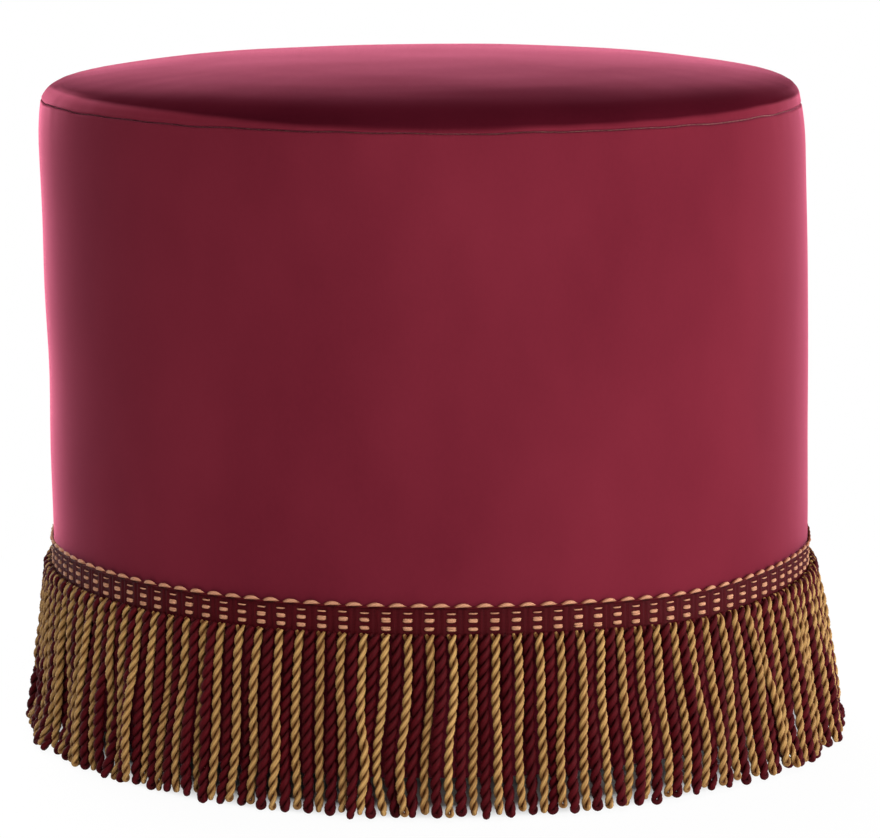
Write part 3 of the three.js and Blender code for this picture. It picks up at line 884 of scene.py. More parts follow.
def side_line(settings, steps=30):
    """The side's line from the seam down, round the foot and in under the base, as (radius, height)."""
    tucked = (DRUM_RADIUS - settings.tuck, SEAM_UNDER)
    shoulder = (DRUM_RADIUS, SEAM_UNDER - 0.2 * MM)
    corner = (DRUM_RADIUS, SIDE_BOTTOM)
    hem = (DRUM_RADIUS - settings.turn_in, SIDE_BOTTOM)
    path = rounded_path([tucked, shoulder, corner, hem], [settings.tuck_height, settings.corner], 8)
    top, foot = path[8], path[9]
    share = np.linspace(0, 1, steps + 1)[1:-1, None] ** 1.7
    flange = np.linspace(0, 1, 4)[1:-1, None]
    parts = [path[:9], top + (foot - top) * share, path[9:-1], path[-2] + (path[-1] - path[-2]) * flange, path[-1:]]
    line = np.concatenate(parts)
    return line[:, 0], line[:, 1]


def side_swell(settings):
    """The simulated swelling of the side cover between the seam and the heading, as a field of outward moves."""
    height = np.linspace(SEAM_UNDER, TAPE_TOP, 34)[:, None]
    angle = FULL * np.arange(160) / 160
    soft = np.sin(math.pi * np.linspace(0, 1, 34))[:, None]
    lumps = ripple(angle, height, 21, (2, 3, 5, 9), (14, 33, 60), 0.7 * MM) * soft
    radius = np.broadcast_to(DRUM_RADIUS + lumps, (34, 160))
    move = swell(around(angle, radius, height), settings)
    return move[..., 0] * np.cos(angle) + move[..., 1] * np.sin(angle) + lumps


def add_side_cover(settings):
    """The velvet band round the drum, drawn in at the seam, full over its padding and turned in under it."""
    columns = settings.columns
    angle = FULL * np.arange(columns) / columns
    field = side_swell(settings)
    layers = []
    for inset in (0.0, settings.thick):
        radius, height = inset_line(*side_line(settings), inset)
        share = (SEAM_UNDER - height) / (SEAM_UNDER - TAPE_TOP)
        push = fine_rows(field, share, columns, settings.swell_waves) * (share < 1)[:, None]
        wide = drawn_radius(radius[:, None] + push, height[:, None], settings)
        layers.append((wide - puckers(angle, height[:, None], settings), height[:, None] + 0 * angle))
    (outer_radius, outer_height), (inner_radius, inner_height) = layers
    radius = np.concatenate([outer_radius, inner_radius[::-1][::4], inner_radius[:1]])
    height = np.concatenate([outer_height, inner_height[::-1][::4], inner_height[:1]])
    lean = lean_at(height, settings)
    surface = Surface()
    # Painted shade in the seam's crease, above the side's tone of 1
    tone = 1 + painted_seam_shade(height)
    add_turned(surface, radius, settled(angle, radius, height, settings), columns, lean, tone)
    pile = velvet_finish("velvet_side_pile", settings)
    side = surface.make("side_velvet", pile, ["side_cover"])


# Fringe


def press_at(angle):
    """Thickness of the heading and the lip against full: 0.85 at the front, and 0.3 behind the two sides."""
    back = np.clip((np.sin(angle) + 0.22) / 0.13, 0, 1)
    return 0.85 - 0.55 * back * back * (3 - 2 * back)


def pressed(angle, radius):
    """Radii of the heading and the lip, which are pressed flatter where press_at is less."""
    foot = DRUM_RADIUS + TOUCH_GAP
    return foot + (radius - foot) * press_at(angle)


def droop_at(angle, settings):
    """How far the heading rises or dips from level: it was sewn on low at the front right, 49 degrees from the
    right, and a little high at the front: sums of size * e^-(distance / width)^2."""
    low = np.exp(-(((angle - math.radians(311)) / math.radians(15)) ** 2))
    high = np.exp(-(((angle - math.radians(265)) / math.radians(24)) ** 2))
    return settings.droop * (0.35 * high - low)


def cord_lines(settings):
    """The middle lines of all cords, gold and burgundy in turn, as points (cords, levels, 3).

    A cord hangs from its place on the heading and flares out: radius = start + flare * way^0.85, with the last
    fifth kicked out at the two sides, and all ends brushed to the front by sweep * way. It strays by smooth curves that grow with the way down. Where two cords
    come nearer than their width they are pushed apart, level by level, neighbours that part are drawn together,
    and none goes into the cover."""
    rng = np.random.default_rng(settings.seed)
    count = 2 * settings.cords
    levels = 80
    way = np.linspace(0, 1, levels)
    number = np.arange(count)
    angle = FULL * number / count
    gold = number % 2 == 0
    tip = np.where(gold, settings.gold_end, settings.burgundy_end) + settings.end_jitter * rng.normal(0, 1, count)
    tip = tip - 2.5 * MM * np.clip(-np.cos(angle), 0, 1)
    end = np.maximum(tip, 0.6 * MM) + 2 * settings.ply_out * np.where(gold, 1, settings.burgundy_share)
    top = TAPE_BOTTOM + 0.8 * MM + droop_at(angle, settings)
    height = top[:, None] + (end - top)[:, None] * way
    flare = settings.flare + settings.flare_lean * np.cos(angle + math.radians(20))
    start = TAPE_RADIUS + 1.6 * MM
    kick = 4 * MM * np.exp(-(((angle - math.radians(196)) / math.radians(20)) ** 2))
    kick = kick + 4 * MM * np.exp(-(((angle - math.radians(345)) / math.radians(20)) ** 2))
    radius = start + flare[:, None] * way**0.85 + kick[:, None] * np.clip((way - 0.82) / 0.18, 0, 1) ** 2
    calm = np.exp(-(((angle - math.radians(268)) / math.radians(24)) ** 2))
    bunch = np.exp(-(((angle - math.radians(321)) / math.radians(9)) ** 2))
    wild = 2.6 - 0.5 * calm + 0.8 * bunch
    waves = np.stack([way**1.6, way**0.6 * np.sin(math.pi * way), way**0.7 * np.sin(FULL * way)])
    sizes = np.array([1.0, 1.0, 0.7])[:, None]
    drift = ripple(angle, 0.0, settings.seed, (7, 11, 17, 26, 38), (0,), 1.1)
    side = (rng.normal(0, 1, (3, count)) * sizes * wild + [[1], [0], [0]] * drift).T @ waves * settings.sway
    inward = (rng.normal(0, 0.7, (3, count)) * sizes * wild).T @ waves * settings.sway
    inward = inward + np.where(gold, 1.5 * MM, -1.5 * MM)[:, None] * np.sin(math.pi * np.clip(way, 0, 0.8))
    turn = angle[:, None] + side / radius
    plane = around(turn, radius + inward, 0.0)[..., :2] - np.array([0, settings.sweep]) * way[:, None]
    freedom = np.clip(way / 0.12, 0, 1)[:, None]
    reach = 2.2 * settings.ply_out * np.where(gold, 1, settings.burgundy_share)[:, None, None]
    nearest = DRUM_RADIUS + reach * (0.85 + 0.15 * freedom)
    least, most = 5.2 * MM, 6.9 * MM
    for _ in range(90):
        for apart in (1, 2, 3):
            gap = np.roll(plane, -apart, axis=0) - plane
            far = np.linalg.norm(gap, axis=2, keepdims=True)
            change = np.maximum(0, least - far) - (0.5 * np.maximum(0, far - most) if apart == 1 else 0)
            push = gap / far * change * 0.35 * freedom
            plane = plane - push + np.roll(push, apart, axis=0)
        smooth = (plane[:, :-2] + 2 * plane[:, 1:-1] + plane[:, 2:]) / 4
        plane[:, 1:-1] += (smooth - plane[:, 1:-1]) * 0.5
        out = np.linalg.norm(plane, axis=2, keepdims=True)
        plane *= np.maximum(1, nearest / out)
    return np.concatenate([plane, height[..., None]], axis=2), angle


def add_cords(surface, lines, angle, size, settings, seed):
    """Adds twisted cords, size times the settings' thickness: each is one yarn that goes down as the first ply,
    round a small loop, and up as the second. A ply lies at middle + arm (cos p across + sin p outward), where p
    grows by a full turn over each twist length, so both plies wind round each other. They part where they leave
    the heading."""
    rng = np.random.default_rng(seed)
    count, levels = lines.shape[:2]
    outward = around(angle, 1.0, 0.0)[:, None]
    across = np.stack([-np.sin(angle), np.cos(angle), 0 * angle], axis=-1)[:, None]
    steps = np.linalg.norm(np.diff(lines, axis=1), axis=2)
    depth = np.concatenate([np.zeros((count, 1)), np.cumsum(steps, axis=1)], axis=1)
    twist = settings.twist * (1 + 0.05 * rng.normal(0, 1, (count, 1)))
    loose = 1 + 0.06 * np.sin(depth / (19 * MM) + rng.uniform(0, FULL, (count, 1)))
    phase = rng.normal(0, 0.3, (count, 1)) + FULL * depth / twist + 0.25 * np.sin(depth / (11 * MM) + twist * 9e3)
    arm = (settings.ply_out * size * 0.97 * loose + 0.6 * MM * np.exp(-depth / (2 * MM)))[..., None]
    spoke = np.cos(phase)[..., None] * across + np.sin(phase)[..., None] * outward
    bend = np.linspace(0, math.pi, 9)[1:-1][None, :, None]
    down = lines[:, -1:] - lines[:, -3:-2]
    down /= np.linalg.norm(down, axis=2, keepdims=True)
    last = arm[:, -1:]
    loop_out = np.cos(bend) * spoke[:, -1:] + np.sin(bend) * down
    loop = lines[:, -1:] + loop_out * last * (1 + 0.12 * np.sin(bend))
    centre = np.concatenate([lines + arm * spoke, loop, (lines - arm * spoke)[:, ::-1]], axis=1)
    out = np.concatenate([spoke, loop_out, -spoke[:, ::-1]], axis=1)
    ends = 1 - 0.34 * np.exp(-depth / (2 * MM)) - 0.04 * np.exp(-(depth[:, -1:] - depth) / (3 * MM))
    swollen = ends * (1 + 0.05 * np.sin(depth / (7 * MM) + rng.uniform(0, FULL, (count, 1))))
    tight = np.repeat(swollen[:, -1:], loop.shape[1], axis=1)
    share = np.concatenate([swollen, tight, swollen[:, ::-1]], axis=1)
    tone = np.clip(rng.normal(0.5, 0.2, count), 0, 1)
    share = share * size
    add_tubes(surface, centre, out, settings.ply_out * share, settings.ply_wide * share, 8, MM, tone)


def add_fringe(settings):
    """All cords, in one piece for each colour and half of the ring."""
    lines, angle = cord_lines(settings)
    # Each yarn's third colour is painted shade, the dark it takes in the grooves between its plies
    gold = yarn_finish("gold_yarn", tuple(settings.gold), paint(84, 44, 12), 0.14, 0.06)
    burgundy = yarn_finish("burgundy_yarn", tuple(settings.burgundy), paint(46, 4, 7), 0.06, 0.03)
    kinds = (
        ("gold", 0, 1.0, gold, "fringe_gold"),
        ("burgundy", 1, settings.burgundy_share, burgundy, "fringe_burgundy"),
    )
    made = []
    for name, first, size, material, slot in kinds:
        own_lines, own_angle = lines[first::2], angle[first::2]
        half = settings.cords // 2
        for number, part in enumerate((slice(0, half), slice(half, None)), start=1):
            surface = Surface()
            seed = settings.seed + 10 * first + number
            add_cords(surface, own_lines[part], own_angle[part], size, settings, seed)
            made.append(surface.make(f"{name}_cords_{number}", material, [f"{name}_cords"]))
    return made


def tape_relief(along, height, pitch):
    """How far the woven heading stands out: two round ribs between the gold columns,
    0.95 mm * sqrt(1 - ((|u| - 4.4 mm) / 1.6 mm)^2) with u measured from the column, and low bars across each
    column between its rows."""
    from_column = np.abs((along / pitch + 0.5) % 1 - 0.5) * pitch
    rib = np.sqrt(np.clip(1 - ((from_column - 4.4 * MM) / (1.62 * MM)) ** 2, 0, 1))
    in_column = np.clip((2.9 * MM - from_column) / (0.6 * MM), 0, 1)
    bar = 0.5 + 0.5 * np.cos(FULL * (height - TAPE_BOTTOM - 1.2 * MM) / (4.45 * MM))
    return 0.95 * MM * rib + 0.4 * MM * bar * in_column


def add_heading_ground(settings):
    """The burgundy ground of the heading: a narrow woven band with upright ribs."""
    per_column = 12
    columns = settings.cords * per_column
    angle = FULL * np.arange(columns) / columns
    rows = 24
    way = np.linspace(0, 1, rows)[:, None]
    height = TAPE_BOTTOM - 1.2 * MM + (LIP_TOP - 0.2 * MM - TAPE_BOTTOM) * way
    edge = np.clip(np.minimum(way, 1 - way) / 0.06, 0, 1) ** 0.5
    pitch = FULL * TAPE_RADIUS / settings.cords
    relief = tape_relief(angle * TAPE_RADIUS, height, pitch) * edge
    outer = TAPE_RADIUS - 0.3 * MM + relief
    inner = np.full((3, columns), DRUM_RADIUS + TOUCH_GAP)
    radius = pressed(angle, np.concatenate([outer, inner]))
    tall = np.concatenate([np.broadcast_to(height, outer.shape), np.broadcast_to(height[[-1, 12, 0]], inner.shape)])
    surface = Surface()
    add_turned(surface, radius, tall + droop_at(angle, settings), columns)
    return surface.make("heading_ground", ground_finish(settings), ["heading_tape"])


def ground_finish(settings):
    """Tightly woven burgundy rayon: fine upright threads with a purple gleam."""
    finish = Finish("heading_ground")
    threads = finish.noise(finish.place((1, 1, 0.08)), 1500.0, 2.0)
    picks = finish.node("ShaderNodeSeparateXYZ", sockets={0: finish.place()}, output=2)
    weft = (picks * (FULL / (0.8 * MM))).sine() * 0.5 + 0.5
    dark = tuple(value * 0.35 for value in settings.burgundy)
    pale = tuple(value * 1.1 for value in settings.burgundy)
    return finish.surface(
        Base_Color=finish.blend((threads * 0.8 + weft * 0.25).clamped(), dark, pale),
        Roughness=0.55 + threads * 0.2,
        Specular_IOR_Level=0.06,
        Sheen_Weight=0.02,
        Sheen_Roughness=0.4,
        Sheen_Tint=(*paint(190, 60, 110), 1.0),
        Normal=finish.bump(threads + weft * 0.4, 0.2 * MM, 0.8),
    )


# The gold floats of the heading: height above its lower edge and half the thickness of each thread
FLOATS = ((12.5, 0.5), (9.0, 0.86), (8.2, 0.86), (4.3, 0.86), (3.5, 0.86))


def add_floats(settings):
    """Gold threads that float over each column of the heading: short bars that dive in at both ends,
    standing out by 1.0 mm * (1 - (u / half width)^4)."""
    width = 2.6 * MM
    across = np.linspace(-1, 1, 7)
    level = TAPE_BOTTOM + np.array([height for height, _ in FLOATS])[:, None] * MM
    thick = np.array([half for _, half in FLOATS])[:, None] * MM
    rng = np.random.default_rng(settings.seed + 50)
    count = settings.cords
    angle = FULL * np.arange(count)[:, None, None] / count + 0.0005 * rng.normal(0, 1, (count, len(FLOATS), 1))
    turn = angle + across * width / TAPE_RADIUS
    out = pressed(angle, TAPE_RADIUS - 0.3 * MM + 1.0 * MM * (1 - across**4))
    tall = level + 0.12 * MM * rng.normal(0, 1, (count, len(FLOATS), 1)) + droop_at(angle, settings)
    centre = around(turn, out, tall).reshape(-1, 7, 3)
    outward = np.broadcast_to(around(turn, 1.0, 0.0), (count, len(FLOATS), 7, 3)).reshape(-1, 7, 3)
    share = (1 - 0.55 * across**6) * np.ones((count, len(FLOATS), 1))
    half = (thick * share).reshape(-1, 7)
    flat = (thick * share * press_at(angle)).reshape(-1, 7)
    surface = Surface()
    tone = np.clip(rng.normal(0.55, 0.15, len(centre)), 0, 1)
    add_tubes(surface, centre, outward, flat, half, 6, MM, tone)
    # The third colour is painted shade, the dark on the side of each thread that faces in
    material = yarn_finish("weft_yarn", tuple(settings.weft), paint(110, 54, 34), 0.14, 0.06)
    return surface.make("heading_floats", material)


def lip_strand(settings, start, thick, thin, arm, arch, low):
    """One strand of the lip: it winds once round the lip over each column and stays longer in front,
    middle + arm (cos p outward + 0.12 sin p up) + arch cos p up, with p = turn - 0.45 sin(turn), thick in
    front, thin behind."""
    count = settings.cords
    per_turn = 12
    number = np.arange(count * per_turn + 1)
    angle = FULL * number / (count * per_turn)
    turn = FULL * (number / per_turn - start)
    phase = turn - 0.45 * np.sin(turn)
    middle = (LIP_REACH + DRUM_RADIUS + TOUCH_GAP) / 2
    level = LIP_TOP - low + arch * np.cos(phase) + droop_at(angle, settings)
    reach = pressed(angle, middle + arm * np.cos(phase))
    centre = around(angle, reach, level + 0.12 * arm * np.sin(phase))
    outward = around(angle, np.cos(phase), np.sin(phase))
    half = thin + (thick - thin) * (0.5 + 0.5 * np.cos(phase)) ** 1.2
    return centre[None], outward[None], (half * press_at(angle))[None], half[None]


def add_lip(settings):
    """The lip on top of the heading: a fat gold strand and a thin burgundy one wound round each other."""
    strands = (
        ("lip_gold", 0.5, 1.15 * MM, 0.45 * MM, 0.8 * MM, 0.8 * MM, 0.4 * MM, "weft_yarn", "fringe_gold", ["lip_cord"]),
        ("lip_burgundy", 0.0, 0.7 * MM, 0.6 * MM, 0.2 * MM, 0.2 * MM, 1.3 * MM, "burgundy_yarn", "fringe_burgundy", []),
    )
    made = []
    for name, start, thick, thin, arm, arch, low, material, slot, replaced in strands:
        centre, outward, flat, half = lip_strand(settings, start, thick, thin, arm, arch, low)
        surface = Surface()
        add_tubes(surface, centre, outward, flat, half, 8, MM, np.array([0.6]))
        made.append(surface.make(name, bpy.data.materials[material], replaced))
    return made


# Seam, padding, underside


def add_seam_stitches(covers):
    """The seam's thread, seen deep in the groove: one short stitch over each pucker."""
    count = covers.pucker_count
    across = np.linspace(-1, 1, 4)
    angle = FULL * np.arange(count)[:, None] / count
    radius = SEAT_RADIUS - covers.draw_in - covers.tuck - 0.1 * MM
    height = settled(angle, radius, SEAM_HEIGHT + 0 * across, covers) + across * 0.5 * MM
    centre = around(angle, radius + 0.25 * MM * (1 - across**2), height)
    centre[..., 0] += lean_at(SEAM_HEIGHT, covers)
    outward = around(angle + 0 * across, 1.0, 0.0)
    half = np.full((count, 4), 0.18 * MM)
    finish = Finish("seam_thread")
    twist = finish.noise(finish.place(), 2500.0, 1.0)
    thread = finish.surface(
        Base_Color=finish.blend(twist, paint(70, 16, 26), paint(104, 30, 44)),
        Roughness=0.6,
        Normal=finish.bump(twist, 0.05 * MM, 0.5),
    )
    surface = Surface()
    add_tubes(surface, centre, outward, half, half, 5, MM, np.full(count, 0.5))
    surface.make("seam_stitches", thread)


def add_padding_piece(name, node, line, leans, settings, material, seed):
    """A padded ring or disc from its line of (radius, height), leaning by a share of the covers' lean, with
    soft lumps."""
    columns = 240
    angle = FULL * np.arange(columns) / columns
    radius, height = line[:, 0, None], line[:, 1, None]
    covers = bpy.context.scene.tuffet_covers
    lumps = ripple(angle, height, seed, (3, 5, 8, 13, 21), (30, 80), settings.lumps)
    wide = np.where(radius > 0, radius - np.abs(lumps) * np.clip(leans, 0, 1)[:, None], 0.0)
    tall = height + (settled(angle, wide, height + 0 * angle, covers) - height) * leans[:, None]
    surface = Surface()
    add_turned(surface, wide, tall, columns, lean=lean_at(height, covers) * leans[:, None])
    piece = surface.make(name, material, [node])


def add_padding(settings):
    """Foam and wadding of the side and the seat, which follow the covers' lean half way or all the way."""
    covers = bpy.context.scene.tuffet_covers
    foam = foam_finish(settings)
    wadding = wadding_finish(settings)
    wall = WALL_RADIUS + TOUCH_GAP
    foam_line = rounded_line(
        [(wall, FOAM_BOTTOM), (FOAM_RADIUS, FOAM_BOTTOM), (FOAM_RADIUS, FOAM_TOP), (wall, FOAM_TOP)], 1.5 * MM
    )
    leans = np.where(foam_line[:, 0] > (wall + FOAM_RADIUS) / 2, 0.5, 0.0)
    foam_line = fill_line(foam_line, 8 * MM)
    leans = np.where(foam_line[:, 0] > (wall + FOAM_RADIUS) / 2, 0.5, 0.0)
    add_padding_piece("side_foam_pad", "side_foam", foam_line, leans, settings, foam, 31)
    inner = FOAM_RADIUS + 2 * TOUCH_GAP
    outer = WADDING_RADIUS - 0.4 * MM
    top = SEAM_UNDER - 2.4 * MM
    corners = [(inner, WADDING_BOTTOM), (outer, WADDING_BOTTOM), (outer, top - 24 * MM)]
    corners += [(outer - covers.draw_in - 2 * MM, top), (inner - 2 * MM, top), (inner, top - 22 * MM)]
    line = fill_line(rounded_line(corners, 1 * MM), 8 * MM)
    leans = np.where(line[:, 0] > inner + 1.2 * MM, 1.0, 0.5)
    add_padding_piece("side_wadding_pad", "side_wadding", line, leans, settings, wadding, 32)
    add_seat_padding(settings, covers, foam, wadding)


def fill_line(line, step):
    """A closed line with points added so that none is further than step from the next."""
    ahead = np.roll(line, -1, axis=0)
    pieces = []
    for here, there in zip(line, ahead):
        count = max(1, math.ceil(np.linalg.norm(there - here) / step))
        share = np.arange(count)[:, None] / count
        pieces.append(here + (there - here) * share)
    return np.concatenate(pieces)


def foam_top(settings, gap, steps=26):
    """The top of the seat foam from the middle out to its side, moved out by gap: level, then falling as
    rise * way^power to a rounded shoulder."""
    side = SEAT_FOAM_RADIUS - 2 * MM + gap
    side_top = SEAM_HEIGHT + 1 * MM + gap
    shoulder = side - 5 * MM
    top = SEAT_FOAM_TOP + gap
    rise = top - side_top - 4 * MM
    radius = np.linspace(0, shoulder, steps)
    way = np.clip((radius - settings.crown_flat) / (shoulder - settings.crown_flat), 0, 1)
    height = top - rise * (1 - (1 - way**settings.crown_power) ** settings.crown_full)
    turn = np.linspace(0, 1, 6)[1:] * math.pi / 2
    round_radius = shoulder + 5 * MM * np.sin(turn)
    round_height = side_top + 4 * MM * np.cos(turn)
    return np.concatenate([radius, round_radius]), np.concatenate([height, round_height])


def add_seat_padding(settings, covers, foam, wadding):
    """The crowned seat foam on its board, and the wadding between it and the cover."""
    radius, height = foam_top(covers, 0.0)
    side = np.linspace(height[-1], SEAT_FOAM_BOTTOM, 8)[1:]
    base = np.linspace(SEAT_FOAM_RADIUS - 2 * MM, 0, 12)[1:]
    line = np.stack(
        [
            np.concatenate([radius, np.full(7, SEAT_FOAM_RADIUS - 2 * MM), base]),
            np.concatenate([height, side, np.full(11, SEAT_FOAM_BOTTOM)]),
        ],
        axis=-1,
    )
    leans = np.full(len(line), 0.5)
    add_padding_piece("seat_foam_pad", "seat_foam", line, leans, settings, foam, 33)
    in_radius, in_height = foam_top(covers, TOUCH_GAP)
    out_radius, out_height = inset_line(*seat_line(covers), covers.thick + TOUCH_GAP + 0.6 * MM)
    keep = out_height > SEAM_HEIGHT + 3.6 * MM
    out_radius = out_radius[keep] - covers.draw_in * (out_radius[keep] / SEAT_RADIUS) ** 2
    line = np.stack(
        [
            np.concatenate([out_radius, [out_radius[-1] - 1 * MM], in_radius[::-1]]),
            np.concatenate([out_height[keep], [SEAM_HEIGHT + 3.2 * MM], in_height[::-1]]),
        ],
        axis=-1,
    )
    leans = np.concatenate([np.ones(len(out_radius) + 1), np.full(len(in_radius), 0.5)])
    add_padding_piece("seat_wadding_pad", "seat_wadding", line, leans, settings, wadding, 34)


def add_dust_cover(settings):
    """Black cloth stretched over the underside, its raw edge turned under and stapled down."""
    columns = 288
    angle = FULL * np.arange(columns) / columns
    under = DUST_TOP - 0.8 * MM
    step = 188 * MM
    radius = np.array([0, 40, 90, 140, 165, 174, 181, 184, 188, 192, 196, 198.5, 200, 200.3, 200, 198.5, 194, 190])
    radius = radius * (DUST_RADIUS / 0.2) * MM
    way = np.clip((radius - (step - 7 * MM)) / (7 * MM), 0, 1)
    drop = (under - HEM_BOTTOM) * way**2 * (3 - 2 * way)
    sag = 0.5 * MM * np.cos(radius / DUST_RADIUS * math.pi / 2)
    count = len(radius)
    bottom = (under - drop - sag)[:, None] + 0 * angle
    pull = np.exp(-(((radius - 192 * MM) / (9 * MM)) ** 2))[:, None]
    bottom = bottom + 0.22 * MM * pull * np.cos(settings.staples * angle)
    wave = 0.7 * MM * np.clip((radius - 0.17) / 0.03, 0, 1)[:, None] * np.cos(settings.staples * angle)
    edge = 13
    thick = 0.8 * MM
    low_radius, low_height = radius[:edge, None] + wave[:edge], bottom[:edge]
    top_radius = low_radius[::-1] - 0.4 * MM * (low_radius[::-1] > 0.19)
    top_height = low_height[::-1] + thick
    rim = low_radius[-1:] + 0.35 * MM
    surface = Surface()
    wide = np.concatenate([low_radius, rim, top_radius])
    wide[0], wide[-1] = 0, 0
    tall = np.concatenate([low_height, low_height[-1:] + thick / 2, top_height])
    tall[0], tall[-1] = tall[0].mean(), tall[-1].mean()
    add_turned(surface, wide, tall, columns)
    piece = surface.make("dust_cloth_cover", cambric_finish(settings), ["dust_cover"])
    add_staples(settings)


def add_staples(settings):
    """Wire staples round the dust cover: the crown of each is a low arch that lies along the hem."""
    count = settings.staples
    along = np.linspace(-1, 1, 8)
    angle = FULL * (np.arange(count)[:, None] + 0.5) / count
    turn = angle + along * 5 * MM / 0.193
    dip = 1.6 * MM * np.clip((np.abs(along) - 0.8) / 0.2, 0, 1)
    centre = around(turn, 0.193, HEM_BOTTOM - 0.35 * MM + dip)
    outward = np.broadcast_to(around(turn, 0.0, -1.0), centre.shape)
    half = np.full((count, 8), 0.3 * MM)
    surface = Surface()
    add_tubes(surface, centre, outward, half, half * 1.8, 6, MM, np.full(count, 0.5))
    surface.make("dust_cover_staples", steel_finish("staple_wire"))


def add_feet():
    """Low moulded feet: a straight collar, a taper to the base and rounded edges, with a well for the screw."""
    material = plastic_finish()
    for name in FEET:
        low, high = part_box(name)
        middle = (low + high) / 2
        top = high.x - middle.x
        well, bore, depth = 4.8 * MM, 2.3 * MM, 8 * MM
        corners = [(well, 0), (top - 3 * MM, 0), (top, high.z - 5 * MM), (top, high.z)]
        corners += [(bore, high.z), (bore, depth), (well, depth)]
        line = rounded_line(corners, [0.6 * MM, 1.6 * MM, 2 * MM, 0.8 * MM, 0.3 * MM, 0.3 * MM, 0.5 * MM])
        surface = Surface()
        add_turned(surface, line[:, 0, None] * np.ones(64), line[:, 1, None] * np.ones(64), 64)
        surface.points[0] = surface.points[0] + np.array([middle.x, middle.y, 0])
        surface.make(f"{name}_moulding", material, [name])


def finish_frame():
    """Wood, board and steel finishes of the frame's own pieces."""
    finishes = {
        "seat_board": plywood_finish(),
        "side_wall": hardboard_finish(),
        "post": pine_finish(),
        "screw": steel_finish("screw_steel"),
    }
    finishes["base_ring"] = finishes["seat_board"]
    for name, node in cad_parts.items():
        for key, material in finishes.items():
            if key in name:
                node.data.materials.clear()
                node.data.materials.append(material)


# Stage


def add_floor(settings):
    """A pale floor that is white to the camera away from the stool and keeps its shadow near it."""
    half = settings.floor_size / 2
    mesh = bpy.data.meshes.new("floor")
    mesh.from_pydata([(-half, -half, 0), (half, -half, 0), (half, half, 0), (-half, half, 0)], [], [(0, 1, 2, 3)])
    floor = bpy.data.objects.new("floor", mesh)
    bpy.context.scene.collection.objects.link(floor)
    finish = Finish("floor")
    body = finish.node("ShaderNodeBsdfDiffuse", sockets={"Color": (*settings.floor, 1)})
    glow = finish.node("ShaderNodeEmission", sockets={"Color": (1, 1, 1, 1), "Strength": 1.0})
    away = finish.node("ShaderNodeVectorMath", {"operation": "LENGTH"}, {0: finish.place()}, output="Value")
    under = ((away - settings.shadow_near) * (1 / settings.shadow_edge)).clamped()
    share = under * 0.94 + ((away - settings.shadow_near) * (1 / settings.shadow_fade)).clamped() * 0.06
    shader = finish.node("ShaderNodeMixShader", sockets={0: share * camera_share(finish), 1: body, 2: glow})
    finish.node("ShaderNodeOutputMaterial", sockets={"Surface": shader})
    mesh.materials.append(finish.material)


def camera_share(finish):
    """1 for a ray from the camera, or one that a gloss or glass surface sends on, and 0 for others."""
    seen = None
    for kind in ("Is Camera Ray", "Is Glossy Ray", "Is Transmission Ray"):
        ray = finish.node("ShaderNodeLightPath", output=kind)
        seen = ray if seen is None else seen.larger(ray)
    return seen


def add_world():
    """Even light all round, and white behind the stool."""
    world = bpy.data.worlds.new("studio")
    world.use_nodes = True
    bpy.context.scene.world = world
    finish = Finish("studio_air")
    bpy.data.materials.remove(finish.material)
    finish.tree = world.node_tree
    finish.tree.nodes.clear()
    seen = camera_share(finish)
    light = finish.node("ShaderNodeBackground", sockets={"Color": (1, 1, 1, 1), "Strength": 0.15})
    white = finish.node("ShaderNodeBackground", sockets={"Color": (1, 1, 1, 1), "Strength": 1.0})
    shader = finish.node("ShaderNodeMixShader", sockets={0: seen, 1: light, 2: white})
    finish.node("ShaderNodeOutputWorld", sockets={"Surface": shader})


# Each softbox: name, where it stands, its side and its power in watts
SOFTBOXES = (
    ("key_right", (2.7, -1.4, 0.7), 1.4, 22),
    ("front_right", (1.3, -2.6, 0.9), 1.2, 49),
    ("side_right", (2.9, 0.1, 0.7), 1.2, 53),
    ("rim_left", (-2.3, 1.2, 0.45), 1.0, 10),
    ("back_left", (-1.6, 2.2, 0.8), 1.2, 26),
    ("top_front", (0, -1.3, 2.6), 1.2, 35),
    ("top_back", (-0.5, 1.7, 2.2), 1.4, 68),
)


def add_softboxes():
    """Soft square lights that look at the middle of the drum."""
    aim = Matrix.Translation((0, 0, SEAT_TOP / 2)).translation
    for name, place, side, power in SOFTBOXES:
        light = bpy.data.lights.new(name, "AREA")
        light.shape = "SQUARE"
        light.size = side
        light.energy = power
        lamp = bpy.data.objects.new(name, light)
        bpy.context.scene.collection.objects.link(lamp)
        lamp.location = place
        lamp.rotation_euler = (lamp.location - aim).to_track_quat("Z", "Y").to_euler()


def add_camera(settings):
    """The camera at the photograph's viewing angle."""
    data = bpy.data.cameras.new("camera")
    data.sensor_fit = "HORIZONTAL"
    data.sensor_width = settings.sensor
    data.lens = settings.lens
    data.clip_end = 100
    camera = bpy.data.objects.new("camera", data)
    bpy.context.scene.collection.objects.link(camera)
    tilt = Matrix.Rotation(math.pi / 2 - settings.pitch, 4, "X")
    camera.matrix_world = Matrix.Translation(settings.eye) @ tilt @ Matrix.Rotation(settings.roll, 4, "Z")
    bpy.context.scene.camera = camera


# Operators and panel


class TUFFET_OT_stage(bpy.types.Operator):
    """Add the camera, the floor and the studio light"""

    bl_idname = "tuffet.stage"
    bl_label = "Stage"

    def execute(self, context):
        settings = context.scene.tuffet_stage
        add_camera(settings)
        add_floor(settings)
        add_world()
        add_softboxes()
        context.scene.view_settings.view_transform = "Standard"
        return {"FINISHED"}


class TUFFET_OT_seat_cover(bpy.types.Operator):
    """Add the crowned velvet seat panel"""

    bl_idname = "tuffet.seat_cover"
    bl_label = "Seat cover"

    def execute(self, context):
        add_seat_cover(context.scene.tuffet_covers)
        return {"FINISHED"}


